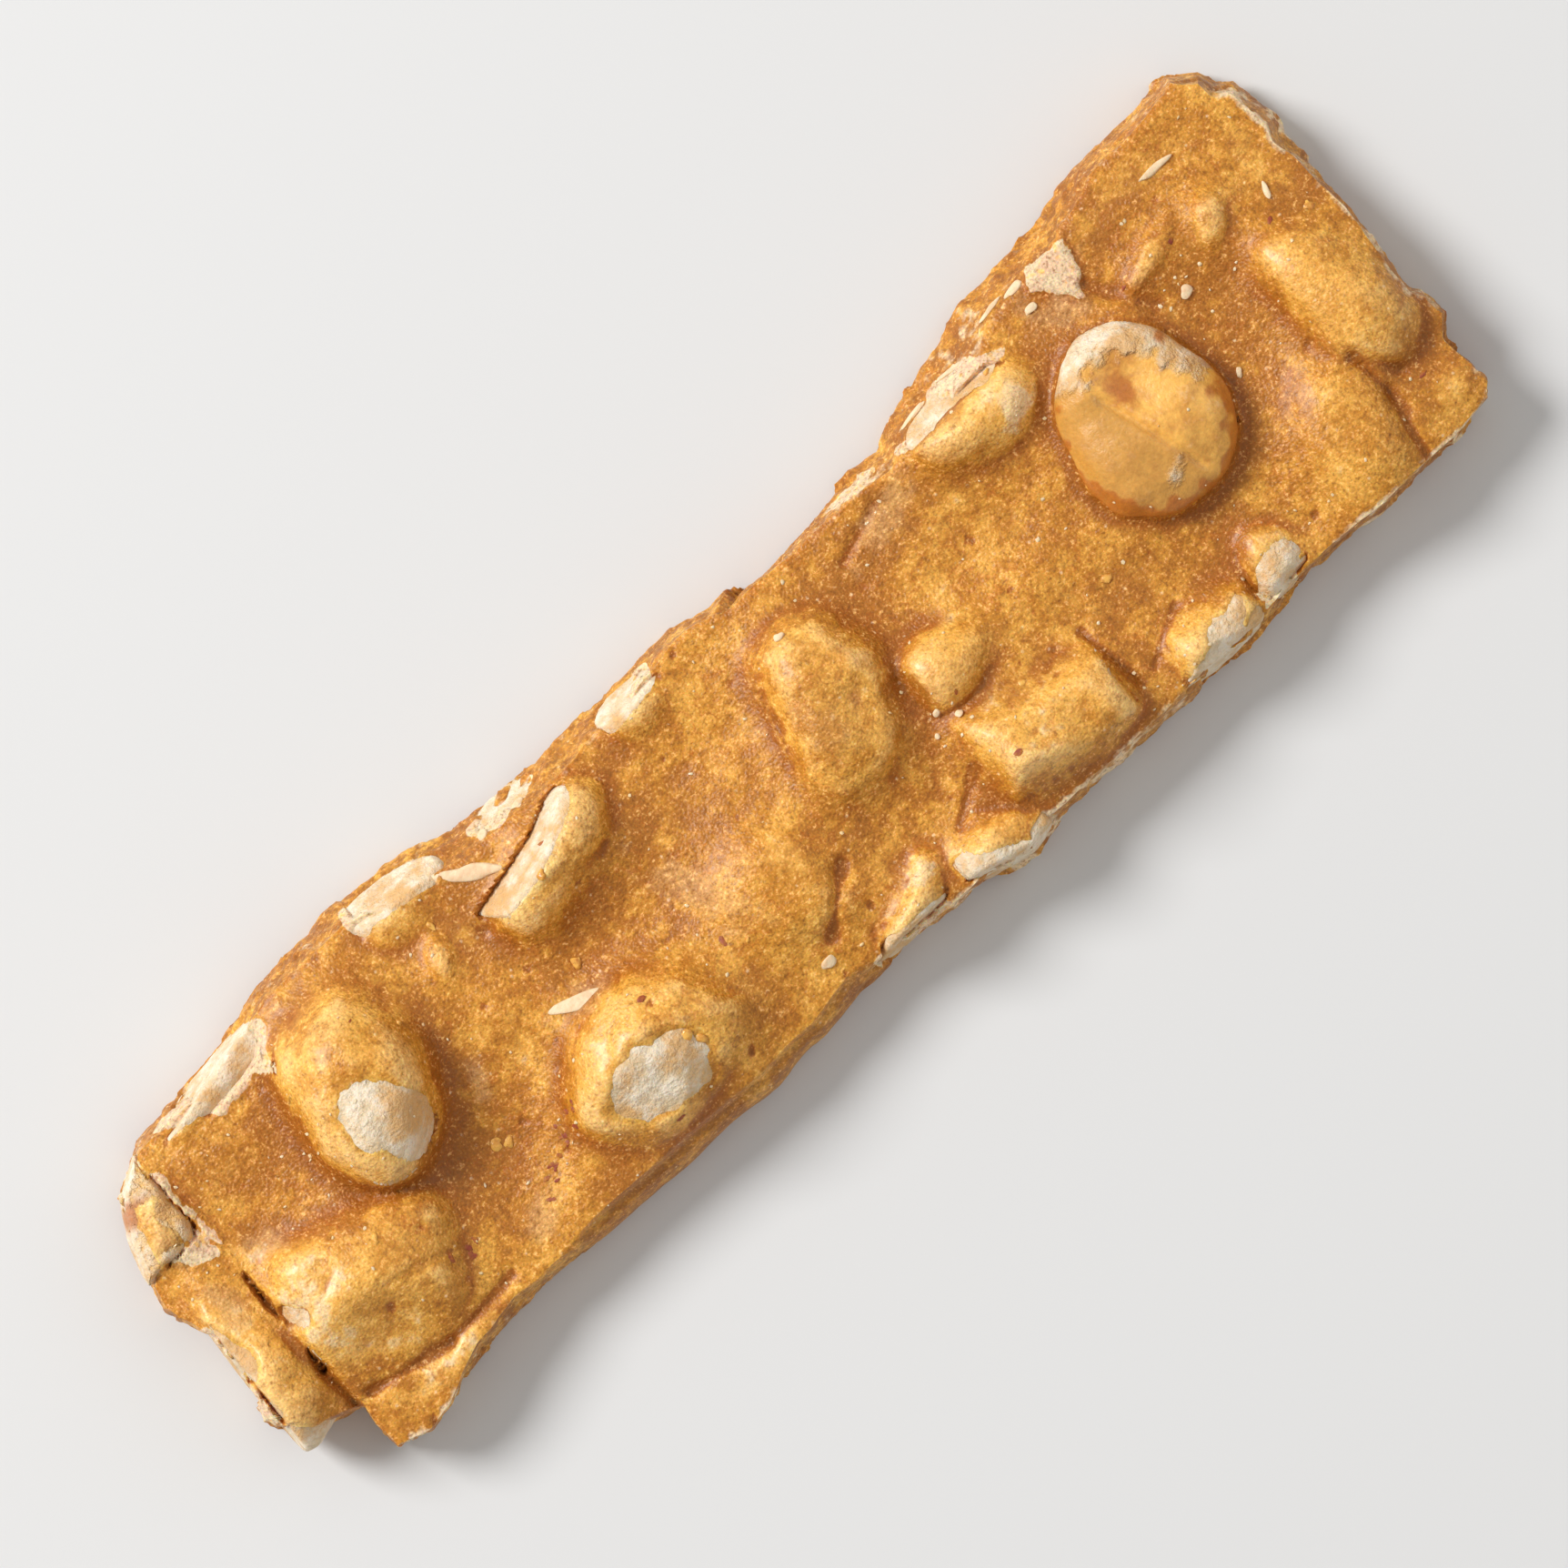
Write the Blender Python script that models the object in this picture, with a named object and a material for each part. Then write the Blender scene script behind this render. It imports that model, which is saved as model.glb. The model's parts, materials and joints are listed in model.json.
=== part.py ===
"""A shard of peanut brittle: a flat slab of broken amber candy with peanuts set in it.

The slab lies flat on its underside at z = 0, with its length along X. Its outline is four broken
edges, and its top rises in low mounds towards the peanuts. Every peanut that shows is its own
solid, and sits in a pocket of the slab with a thin gap all round.
Sizes in the tables are millimetres and degrees, and the model is built in metres.
"""

import math

import bmesh
import bpy
from mathutils import Euler, Matrix, Vector

MM = 0.001

# Driving dimensions of the slab
THICKNESS = 5.2  # from the underside to the plain top surface
RIM_DROP = 0.45  # how far the top surface falls where it meets the broken edge
FOOT = 0.5  # how far the underside is set back from the widest line
WIDEST = 0.3  # height of the widest line, as a share of the thickness
ALONG = 50  # strips along the slab
ACROSS = 14  # strips across it

# Driving dimensions of the peanuts
GAP = 0.3  # between a peanut and its pocket
SIDES = 12  # segments round a peanut
RINGS = 8  # segments along it
COLLAR_RISE = 0.32  # how far the candy climbs a peanut, as a share of what stands proud
COLLAR_REACH = 1.25  # how far the collar reaches, as a share of the peanut's half size
TAPER = 0.13  # how much a peanut narrows towards its far end
BROKEN_ANGLE = 35  # edges sharper than this many degrees show as breaks

# The four broken edges: x, y of the widest line, and how far the top rim stands back from it
FRONT_EDGE = (
    (-50.9, -13.5, 0.3), (-45.9, -14.1, 0.4), (-41.7, -12.9, 0.5), (-34.2, -12.9, 0.9),
    (-26.0, -13.7, 1.0), (-15.0, -14.3, 1.0), (-6.5, -13.7, 0.9), (-1.2, -13.8, 0.6),
    (5.9, -14.4, 0.6), (9.0, -15.6, 0.5), (11.6, -14.9, 0.6), (18.3, -15.3, 0.6),
    (29.0, -16.0, 0.6), (34.1, -15.2, 0.5), (42.3, -15.9, 0.4), (52.8, -15.5, 0.3),
)
RIGHT_EDGE = (
    (52.8, -15.5, 0.3), (54.0, -12.9, 0.4), (53.7, -10.5, 0.4), (55.0, -9.0, 0.5),
    (54.6, -6.3, 0.5), (55.6, 0.8, 0.6), (56.0, 5.4, 1.0), (56.5, 8.4, 1.3),
    (56.0, 12.3, 1.3), (54.6, 14.4, 1.0), (52.8, 15.9, 0.8),
)
BACK_EDGE = (
    (-52.4, 12.2, 0.5), (-48.9, 13.8, 0.6), (-43.2, 14.4, 1.2), (-35.7, 15.6, 1.0),
    (-28.2, 16.0, 1.6), (-21.5, 15.0, 2.1), (-18.5, 13.8, 2.0), (-12.2, 13.1, 1.9),
    (-2.7, 13.1, 1.5), (1.8, 12.9, 0.8), (4.8, 12.0, 0.5), (11.6, 11.6, 0.7),
    (18.3, 12.0, 1.5), (20.6, 11.4, 1.4), (24.3, 12.9, 2.6), (28.1, 13.8, 3.0),
    (31.8, 14.7, 2.4), (39.3, 15.0, 1.8), (43.8, 15.8, 1.2), (52.8, 15.9, 0.8),
)
LEFT_EDGE = (
    (-50.9, -13.5, 0.3), (-50.5, -9.9, 0.4), (-54.0, -8.8, 0.6), (-56.5, -5.7, 0.6),
    (-55.4, -4.0, 0.5), (-54.8, 0.9, 0.9), (-55.8, 4.5, 0.7), (-54.3, 9.3, 0.6),
    (-52.4, 12.2, 0.5),
)

# Mounds where the candy covers a peanut, or has run: x, y, half length, half width, height, turn
MOUNDS = (
    (-4.6, -5.2, 5.6, 4.6, 2.6, -20),
    (-1.5, -9.6, 4.0, 2.0, 0.6, -35),
    (44.4, -10.2, 5.6, 4.4, 2.7, 80),
    (50.8, -12.8, 3.2, 2.6, 1.0, 0),
    (43.4, 8.2, 3.6, 1.5, 0.9, 17),
    (48.0, 6.8, 2.2, 1.6, 1.3, 50),
    (-24.6, 4.0, 2.6, 5.4, 1.0, 20),
    (-45.5, 8.6, 5.0, 4.6, 0.7, 0),
    (-31.5, -7.5, 6.0, 3.0, -0.5, 10),
    (21.5, 3.0, 6.0, 6.0, -0.5, 0),
    (-12.0, -1.0, 8.0, 3.0, -0.3, 0),
)

# Peanuts. place: x, y, z of the middle; size: length, width, height; turn about Z;
# tilt: how far the +length end is raised; square: below 1 the form is blockier than an egg;
# cuts: broken or split faces, as azimuth and elevation of the face and its distance from the middle;
# trimmed: the slab's broken edge runs through it
PEANUTS = {
    "peanut_standing": dict(
        place=(-35.0, 5.6, 5.6), size=(13.6, 9.4, 8.8), turn=-108, tilt=13,
        cuts=((-60, 25, 4.6),),
    ),
    "peanut_block": dict(
        place=(-43.6, -3.9, 4.6), size=(13.6, 10.8, 7.8), turn=-16, square=0.8,
        cuts=((180, 0, 6.0), (-106, 52, 3.1)),
    ),
    "peanut_end_lobe": dict(
        place=(-53.4, -1.9, 4.1), size=(14.2, 8.0, 6.6), turn=96, square=0.85, trimmed=True,
        cuts=((0, 0, 2.6),),
    ),
    "peanut_corner_chip": dict(
        place=(-51.6, 9.0, 4.1), size=(9.6, 6.6, 6.4), turn=66, square=0.8, trimmed=True,
        cuts=((0, 10, 2.2), (150, 50, 2.0), (-90, 0, 3.0)),
    ),
    "peanut_cut_half": dict(
        place=(-15.2, 7.9, 5.2), size=(12.8, 7.4, 6.2), turn=13, cuts=((104, 48, 1.5),),
    ),
    "peanut_bare_patch": dict(
        place=(-18.7, -6.7, 5.3), size=(14.2, 9.6, 8.0), turn=-10, cuts=((-120, 62, 3.5),),
    ),
    "peanut_wedge": dict(
        place=(6.0, 1.6, 4.7), size=(12.4, 7.4, 6.2), turn=72, square=0.8,
        cuts=((165, 18, 2.6), (-60, 30, 3.4), (20, 45, 2.9)),
    ),
    "peanut_tip": dict(
        place=(14.5, -2.3, 4.9), size=(9.4, 5.8, 5.2), turn=174, tilt=14,
    ),
    "peanut_big_chunk": dict(
        place=(15.4, -9.5, 4.9), size=(14.2, 7.2, 7.0), turn=-11, square=0.75,
        cuts=((-15, 10, 6.3), (80, 55, 3.0), (-100, 40, 3.2)),
    ),
    "peanut_edge_wedge": dict(
        place=(0.4, -11.8, 3.9), size=(8.8, 5.2, 5.4), turn=26, square=0.8, trimmed=True,
        cuts=((110, 45, 2.1), (15, 0, 3.4)),
    ),
    "peanut_edge_chip": dict(
        place=(7.6, -13.3, 4.1), size=(7.4, 5.0, 5.6), turn=-18, square=0.8, trimmed=True,
        cuts=((-90, 42, 2.3), (5, 0, 3.2)),
    ),
    "peanut_slim": dict(
        place=(27.0, 8.7, 4.6), size=(9.8, 6.2, 5.0), turn=-9, cuts=((92, 40, 1.2),),
    ),
    "peanut_half": dict(
        place=(35.0, 0.5, 5.6), size=(13.6, 11.2, 6.2), turn=78, square=0.88,
        cuts=((60, 78, 2.5), (75, 30, 5.6)),
    ),
    "peanut_end_long": dict(
        place=(50.2, -2.8, 5.0), size=(13.2, 7.0, 6.6), turn=96,
    ),
    "peanut_edge_small": dict(
        place=(34.4, -12.7, 3.9), size=(6.4, 4.6, 5.0), turn=80, trimmed=True,
        cuts=((-85, 30, 2.2),),
    ),
    "peanut_edge_chunk": dict(
        place=(27.6, -13.0, 3.8), size=(8.8, 5.2, 5.2), turn=10, square=0.8, trimmed=True,
        cuts=((-90, 45, 1.7), (80, 50, 2.3)),
    ),
    "peanut_rim_1": dict(
        place=(-41.9, 12.6, 3.5), size=(11.4, 5.2, 4.6), turn=2, trimmed=True,
        cuts=((94, 58, 1.9), (0, 0, 4.6)),
    ),
    "peanut_rim_2": dict(
        place=(-24.6, 12.6, 3.7), size=(9.2, 6.6, 4.8), turn=-6, trimmed=True,
    ),
    "peanut_rim_3": dict(
        place=(-14.4, 12.8, 2.9), size=(7.8, 3.4, 4.0), turn=-4, trimmed=True,
    ),
    "peanut_rim_4": dict(
        place=(-3.4, 10.9, 3.6), size=(6.0, 4.8, 4.4), turn=-8, trimmed=True,
    ),
}


def clear_scene():
    for item in list(bpy.data.objects):
        bpy.data.objects.remove(item, do_unlink=True)


def material(name, colour, roughness):
    made = bpy.data.materials.new(name)
    made.use_nodes = True
    made.diffuse_color = (*colour, 1)
    shader = made.node_tree.nodes["Principled BSDF"]
    shader.inputs["Base Color"].default_value = (*colour, 1)
    shader.inputs["Roughness"].default_value = roughness
    shader.inputs["Metallic"].default_value = 0
    return made


def add_object(name, bm, finish=None):
    """Turns a bmesh in millimetres into a smooth-shaded object."""
    bm.normal_update()
    bmesh.ops.recalc_face_normals(bm, faces=bm.faces)
    bmesh.ops.scale(bm, vec=(MM, MM, MM), verts=bm.verts)
    mesh = bpy.data.meshes.new(name)
    bm.to_mesh(mesh)
    bm.free()
    mesh.shade_smooth()
    mesh.set_sharp_from_angle(angle=math.radians(BROKEN_ANGLE))
    made = bpy.data.objects.new(name, mesh)
    bpy.context.scene.collection.objects.link(made)
    if finish:
        mesh.materials.append(finish)
    return made


def as_cutter(item):
    item.hide_render = True
    item.display_type = "WIRE"
    return item


def evenly(points, count):
    """The polyline read at count + 1 places that are evenly spaced along it."""
    points = [Vector(p) for p in points]
    steps = [(b.xy - a.xy).length for a, b in zip(points, points[1:])]
    spacing = sum(steps) / count
    found = []
    index = 0
    passed = 0.0
    for k in range(count + 1):
        goal = min(k * spacing, sum(steps) - 1e-9)
        while goal > passed + steps[index]:
            passed += steps[index]
            index += 1
        found.append(points[index].lerp(points[index + 1], (goal - passed) / steps[index]))
    return found


def broken_edges():
    return [
        evenly(FRONT_EDGE, ALONG),
        evenly(RIGHT_EDGE, ACROSS),
        evenly(BACK_EDGE, ALONG),
        evenly(LEFT_EDGE, ACROSS),
    ]


def ring_order(front, right, back, left):
    """The four edges as one loop, counter-clockwise seen from above, without repeated corners."""
    return front[:-1] + right[:-1] + back[:0:-1] + left[:0:-1]


def set_back(ring, distance):
    """The loop moved inwards, each point by distance(point)."""
    moved = []
    for k, point in enumerate(ring):
        along = (ring[(k + 1) % len(ring)].xy - ring[k - 1].xy).normalized()
        inward = Vector((-along.y, along.x))
        moved.append(point.xy + inward * distance(point))
    return moved


def patch_point(front, right, back, left, i, j):
    """A point inside four edges, blended from the edges it lies between."""
    s = i / (len(front) - 1)
    t = j / (len(left) - 1)
    between_long = front[i].lerp(back[i], t)
    between_short = left[j].lerp(right[j], s)
    low = front[0].lerp(front[-1], s)
    high = back[0].lerp(back[-1], s)
    return between_long + between_short - low.lerp(high, t)


def bump(x, y, centre_x, centre_y, half_length, half_width, turn):
    """A smooth hill: 1 in the middle, and about 0 beyond its half sizes."""
    angle = math.radians(turn)
    dx = x - centre_x
    dy = y - centre_y
    along = (dx * math.cos(angle) + dy * math.sin(angle)) / half_length
    across = (dy * math.cos(angle) - dx * math.sin(angle)) / half_width
    return math.exp(-((along * along + across * across) ** 1.5))


def top_height(x, y):
    """Height of the candy's top surface: gentle waves, mounds, and a collar at each peanut."""
    height = THICKNESS
    height += 0.18 * math.sin(0.21 * x + 0.6) + 0.12 * math.sin(0.33 * y - 0.17 * x)
    for centre_x, centre_y, half_length, half_width, rise, turn in MOUNDS:
        height += rise * bump(x, y, centre_x, centre_y, half_length, half_width, turn)
    collar = 0.0
    for peanut in PEANUTS.values():
        length, width, depth = peanut["size"]
        px, py, pz = peanut["place"]
        proud = max(pz + depth / 2 - THICKNESS, 0)
        reach = COLLAR_REACH / 2
        near = bump(x, y, px, py, length * reach, width * reach, peanut["turn"])
        collar = max(collar, COLLAR_RISE * proud * near)
    return height + collar


def bridge(bm, lower, upper):
    """A wall between two loops of vertices."""
    for k in range(len(lower)):
        after = (k + 1) % len(lower)
        bm.faces.new((lower[k], lower[after], upper[after], upper[k]))


def top_grid(bm, rim):
    """The top surface inside the rim loop, as rows of vertices from left to right."""
    corner = (ALONG, ALONG + ACROSS, 2 * ALONG + ACROSS)
    front = rim[:corner[0] + 1]
    right = rim[corner[0]:corner[1] + 1]
    back = rim[corner[1]:corner[2] + 1][::-1]
    left = (rim[corner[2]:] + rim[:1])[::-1]
    grid = []
    for i in range(ALONG + 1):
        row = []
        for j in range(ACROSS + 1):
            x, y = patch_point(front, right, back, left, i, j)
            at_rim = i in (0, ALONG) or j in (0, ACROSS)
            z = top_height(x, y) - (RIM_DROP if at_rim else 0)
            row.append(bm.verts.new((x, y, z)))
        grid.append(row)
    for i in range(ALONG):
        for j in range(ACROSS):
            bm.faces.new((grid[i][j], grid[i + 1][j], grid[i + 1][j + 1], grid[i][j + 1]))
    return grid


def build_slab(finish):
    widest = ring_order(*broken_edges())
    foot = set_back(widest, lambda p: FOOT)
    rim = set_back(widest, lambda p: p.z)

    bm = bmesh.new()
    grid = top_grid(bm, rim)
    rim_verts = ring_order(
        [row[0] for row in grid], grid[-1], [row[-1] for row in grid], grid[0]
    )
    widest_verts = [bm.verts.new((p.x, p.y, THICKNESS * WIDEST)) for p in widest]
    foot_verts = [bm.verts.new((p.x, p.y, 0)) for p in foot]
    bridge(bm, foot_verts, widest_verts)
    bridge(bm, widest_verts, rim_verts)
    bm.faces.new(foot_verts[::-1])
    return add_object("candy_slab", bm, finish)


def edge_prism():
    """What lies inside the slab's broken edges: it trims the peanuts that the break ran through."""
    widest = ring_order(*broken_edges())
    rim = set_back(widest, lambda p: p.z)
    top = 2 * THICKNESS
    top_share = (2 - WIDEST) / (1 - WIDEST)  # the side's lean, carried on up to the prism's top
    bm = bmesh.new()
    rings = []
    for z, share in ((0, 0), (THICKNESS * WIDEST, 0), (THICKNESS, 1), (top, top_share)):
        ring = [w.xy.lerp(r, share) for w, r in zip(widest, rim)]
        rings.append([bm.verts.new((p.x, p.y, z)) for p in ring])
    for lower, upper in zip(rings, rings[1:]):
        bridge(bm, lower, upper)
    bm.faces.new(rings[0][::-1])
    bm.faces.new(rings[-1])
    return as_cutter(add_object("edge_trim", bm))


def direction(azimuth, elevation):
    azimuth = math.radians(azimuth)
    elevation = math.radians(elevation)
    flat = math.cos(elevation)
    return Vector((flat * math.cos(azimuth), flat * math.sin(azimuth), math.sin(elevation)))


def peanut_form(place, size, turn, tilt=0, square=1.0, cuts=(), trimmed=False, grow=0.0):
    """A kernel lying along its turn, grown by grow all round, with its broken faces cut flat."""
    bm = bmesh.new()
    bmesh.ops.create_uvsphere(bm, u_segments=SIDES, v_segments=RINGS, radius=1)
    half = [side / 2 + grow for side in size]
    for vert in bm.verts:
        along, across, up = vert.co.z, vert.co.x, vert.co.y
        blocky = [math.copysign(abs(c) ** square, c) for c in (along, across, up)]
        taper = 1 - TAPER * along
        vert.co = (blocky[0] * half[0], blocky[1] * half[1] * taper, blocky[2] * half[2] * taper)
    turned = Euler((0, -math.radians(tilt), math.radians(turn)), "XYZ").to_matrix().to_4x4()
    bm.transform(Matrix.Translation(place) @ turned)
    for azimuth, elevation, distance in cuts:
        normal = direction(azimuth, elevation)
        cut = bmesh.ops.bisect_plane(
            bm, geom=bm.verts[:] + bm.edges[:] + bm.faces[:], dist=1e-5,
            plane_co=Vector(place) + normal * (distance + grow), plane_no=normal,
            clear_outer=True,
        )
        open_edges = [e for e in cut["geom_cut"] if isinstance(e, bmesh.types.BMEdge)]
        if open_edges:
            bmesh.ops.contextual_create(bm, geom=open_edges)
    return bm


def boolean(item, operation, tool):
    cut = item.modifiers.new(tool.name, "BOOLEAN")
    cut.operation = operation
    cut.solver = "EXACT"
    cut.object = tool


def build_peanuts(slab, finish):
    trim = edge_prism()
    for name, facts in PEANUTS.items():
        peanut = add_object(name, peanut_form(**facts), finish)
        if facts.get("trimmed"):
            boolean(peanut, "INTERSECT", trim)
        pocket = as_cutter(add_object(name + "_pocket", peanut_form(**facts, grow=GAP)))
        boolean(slab, "DIFFERENCE", pocket)


def main():
    clear_scene()
    slab = build_slab(material("amber_candy", (0.62, 0.33, 0.09), 0.35))
    build_peanuts(slab, material("roasted_peanut", (0.78, 0.55, 0.26), 0.5))


main()
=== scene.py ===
"""Looks of a peanut brittle shard: the candy poured round its peanuts, its broken sides, and crumbs.

The peanuts are shaped first, each to the size and place of its solid in the frame. The candy is then
laid over them as a relief, worked out on a fine table of heights, and broken off along the sides.
Lengths in the tables are millimetres and angles are degrees.
"""

import json
import math

import bpy
import numpy as np
from bpy.props import FloatProperty, FloatVectorProperty, IntProperty, PointerProperty
from mathutils import Euler, Matrix, Vector
from mathutils.bvhtree import BVHTree

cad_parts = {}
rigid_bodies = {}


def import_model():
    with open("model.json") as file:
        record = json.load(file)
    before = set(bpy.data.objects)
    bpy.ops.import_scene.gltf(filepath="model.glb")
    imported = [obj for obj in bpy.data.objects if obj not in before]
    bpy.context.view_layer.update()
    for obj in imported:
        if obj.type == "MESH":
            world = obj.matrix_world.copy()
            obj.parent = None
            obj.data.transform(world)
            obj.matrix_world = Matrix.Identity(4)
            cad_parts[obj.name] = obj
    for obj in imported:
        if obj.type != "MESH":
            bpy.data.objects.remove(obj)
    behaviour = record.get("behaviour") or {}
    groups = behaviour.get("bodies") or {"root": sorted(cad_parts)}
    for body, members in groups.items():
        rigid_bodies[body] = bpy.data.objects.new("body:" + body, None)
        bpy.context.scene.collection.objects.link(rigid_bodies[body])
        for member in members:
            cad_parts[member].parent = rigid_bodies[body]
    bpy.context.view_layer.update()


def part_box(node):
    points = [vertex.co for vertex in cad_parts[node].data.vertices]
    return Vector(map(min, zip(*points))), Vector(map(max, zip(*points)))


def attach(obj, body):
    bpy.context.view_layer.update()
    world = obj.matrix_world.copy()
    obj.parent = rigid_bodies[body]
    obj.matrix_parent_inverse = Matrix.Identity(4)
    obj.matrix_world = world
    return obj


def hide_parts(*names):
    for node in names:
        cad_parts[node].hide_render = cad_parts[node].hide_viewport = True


bl_info = {
    "name": "Peanut Brittle Shard",
    "version": (1, 0, 0),
    "blender": (4, 5, 0),
    "location": "View3D > Sidebar > Brittle",
    "description": "Builds the visible pieces of a shard of peanut brittle round its frame",
    "category": "Add Mesh",
}

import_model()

MM = 0.001

# The slab's four broken edges: x, y of the widest line, and how far the top rim stands back from it
FRONT_EDGE = (
    (-50.9, -13.5, 0.3), (-48.3, -14.3, 0.3), (-45.9, -14.1, 0.4), (-43.6, -13.2, 0.4),
    (-41.7, -12.8, 0.5), (-38.0, -12.5, 0.7), (-34.2, -12.9, 0.9), (-26.0, -13.7, 1.0),
    (-15.0, -14.3, 1.0), (-10.2, -14.3, 0.9), (-6.5, -13.7, 0.9), (-1.2, -13.8, 0.5),
    (2.0, -14.4, 0.5), (5.4, -14.5, 0.5), (6.9, -15.2, 0.5), (9.0, -15.7, 0.5),
    (11.4, -14.9, 0.6), (18.3, -15.3, 0.6), (27.0, -15.6, 0.6), (29.2, -16.0, 0.6),
    (31.6, -15.6, 0.5), (34.1, -15.2, 0.5), (38.0, -15.3, 0.4), (42.3, -15.9, 0.4),
    (46.0, -15.8, 0.4), (49.0, -15.9, 0.3), (52.8, -15.5, 0.3),
)
RIGHT_EDGE = (
    (52.8, -15.5, 0.3), (53.6, -14.7, 0.3), (54.0, -12.9, 0.4), (53.7, -10.5, 0.4),
    (55.0, -9.2, 0.5), (54.9, -7.2, 0.5), (54.3, -6.3, 0.5), (54.8, -3.0, 0.5),
    (55.6, 0.8, 0.6), (55.9, 5.4, 1.0), (55.9, 7.2, 1.2), (56.5, 8.4, 1.3),
    (56.0, 12.3, 1.3), (54.9, 13.2, 1.2), (54.6, 14.4, 1.0), (52.8, 15.9, 0.8),
)
BACK_EDGE = (
    (-52.4, 12.2, 0.5), (-48.9, 13.8, 0.6), (-43.2, 14.4, 1.2), (-35.7, 15.6, 1.0),
    (-28.2, 16.0, 1.6), (-24.0, 15.4, 2.1), (-21.5, 15.0, 2.1), (-18.5, 13.8, 2.0),
    (-12.2, 13.2, 1.9), (-2.7, 13.1, 1.5), (1.8, 12.9, 0.8), (4.8, 12.0, 0.5),
    (11.6, 11.6, 0.7), (18.3, 12.0, 1.5), (20.6, 11.4, 1.4), (22.2, 12.2, 2.0),
    (24.3, 12.9, 2.6), (28.1, 13.8, 3.0), (31.8, 14.7, 2.4), (39.3, 15.0, 1.8),
    (43.8, 15.8, 1.2), (49.0, 15.6, 0.9), (52.8, 15.9, 0.8),
)
LEFT_EDGE = (
    (-50.9, -13.5, 0.3), (-50.9, -11.2, 0.3), (-50.6, -9.9, 0.4), (-53.8, -8.8, 0.6),
    (-55.4, -7.2, 0.6), (-56.0, -5.7, 0.6), (-55.3, -4.0, 0.5), (-54.8, 0.9, 0.9),
    (-55.8, 4.5, 0.7), (-54.3, 9.3, 0.6), (-52.4, 12.2, 0.5),
)

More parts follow.
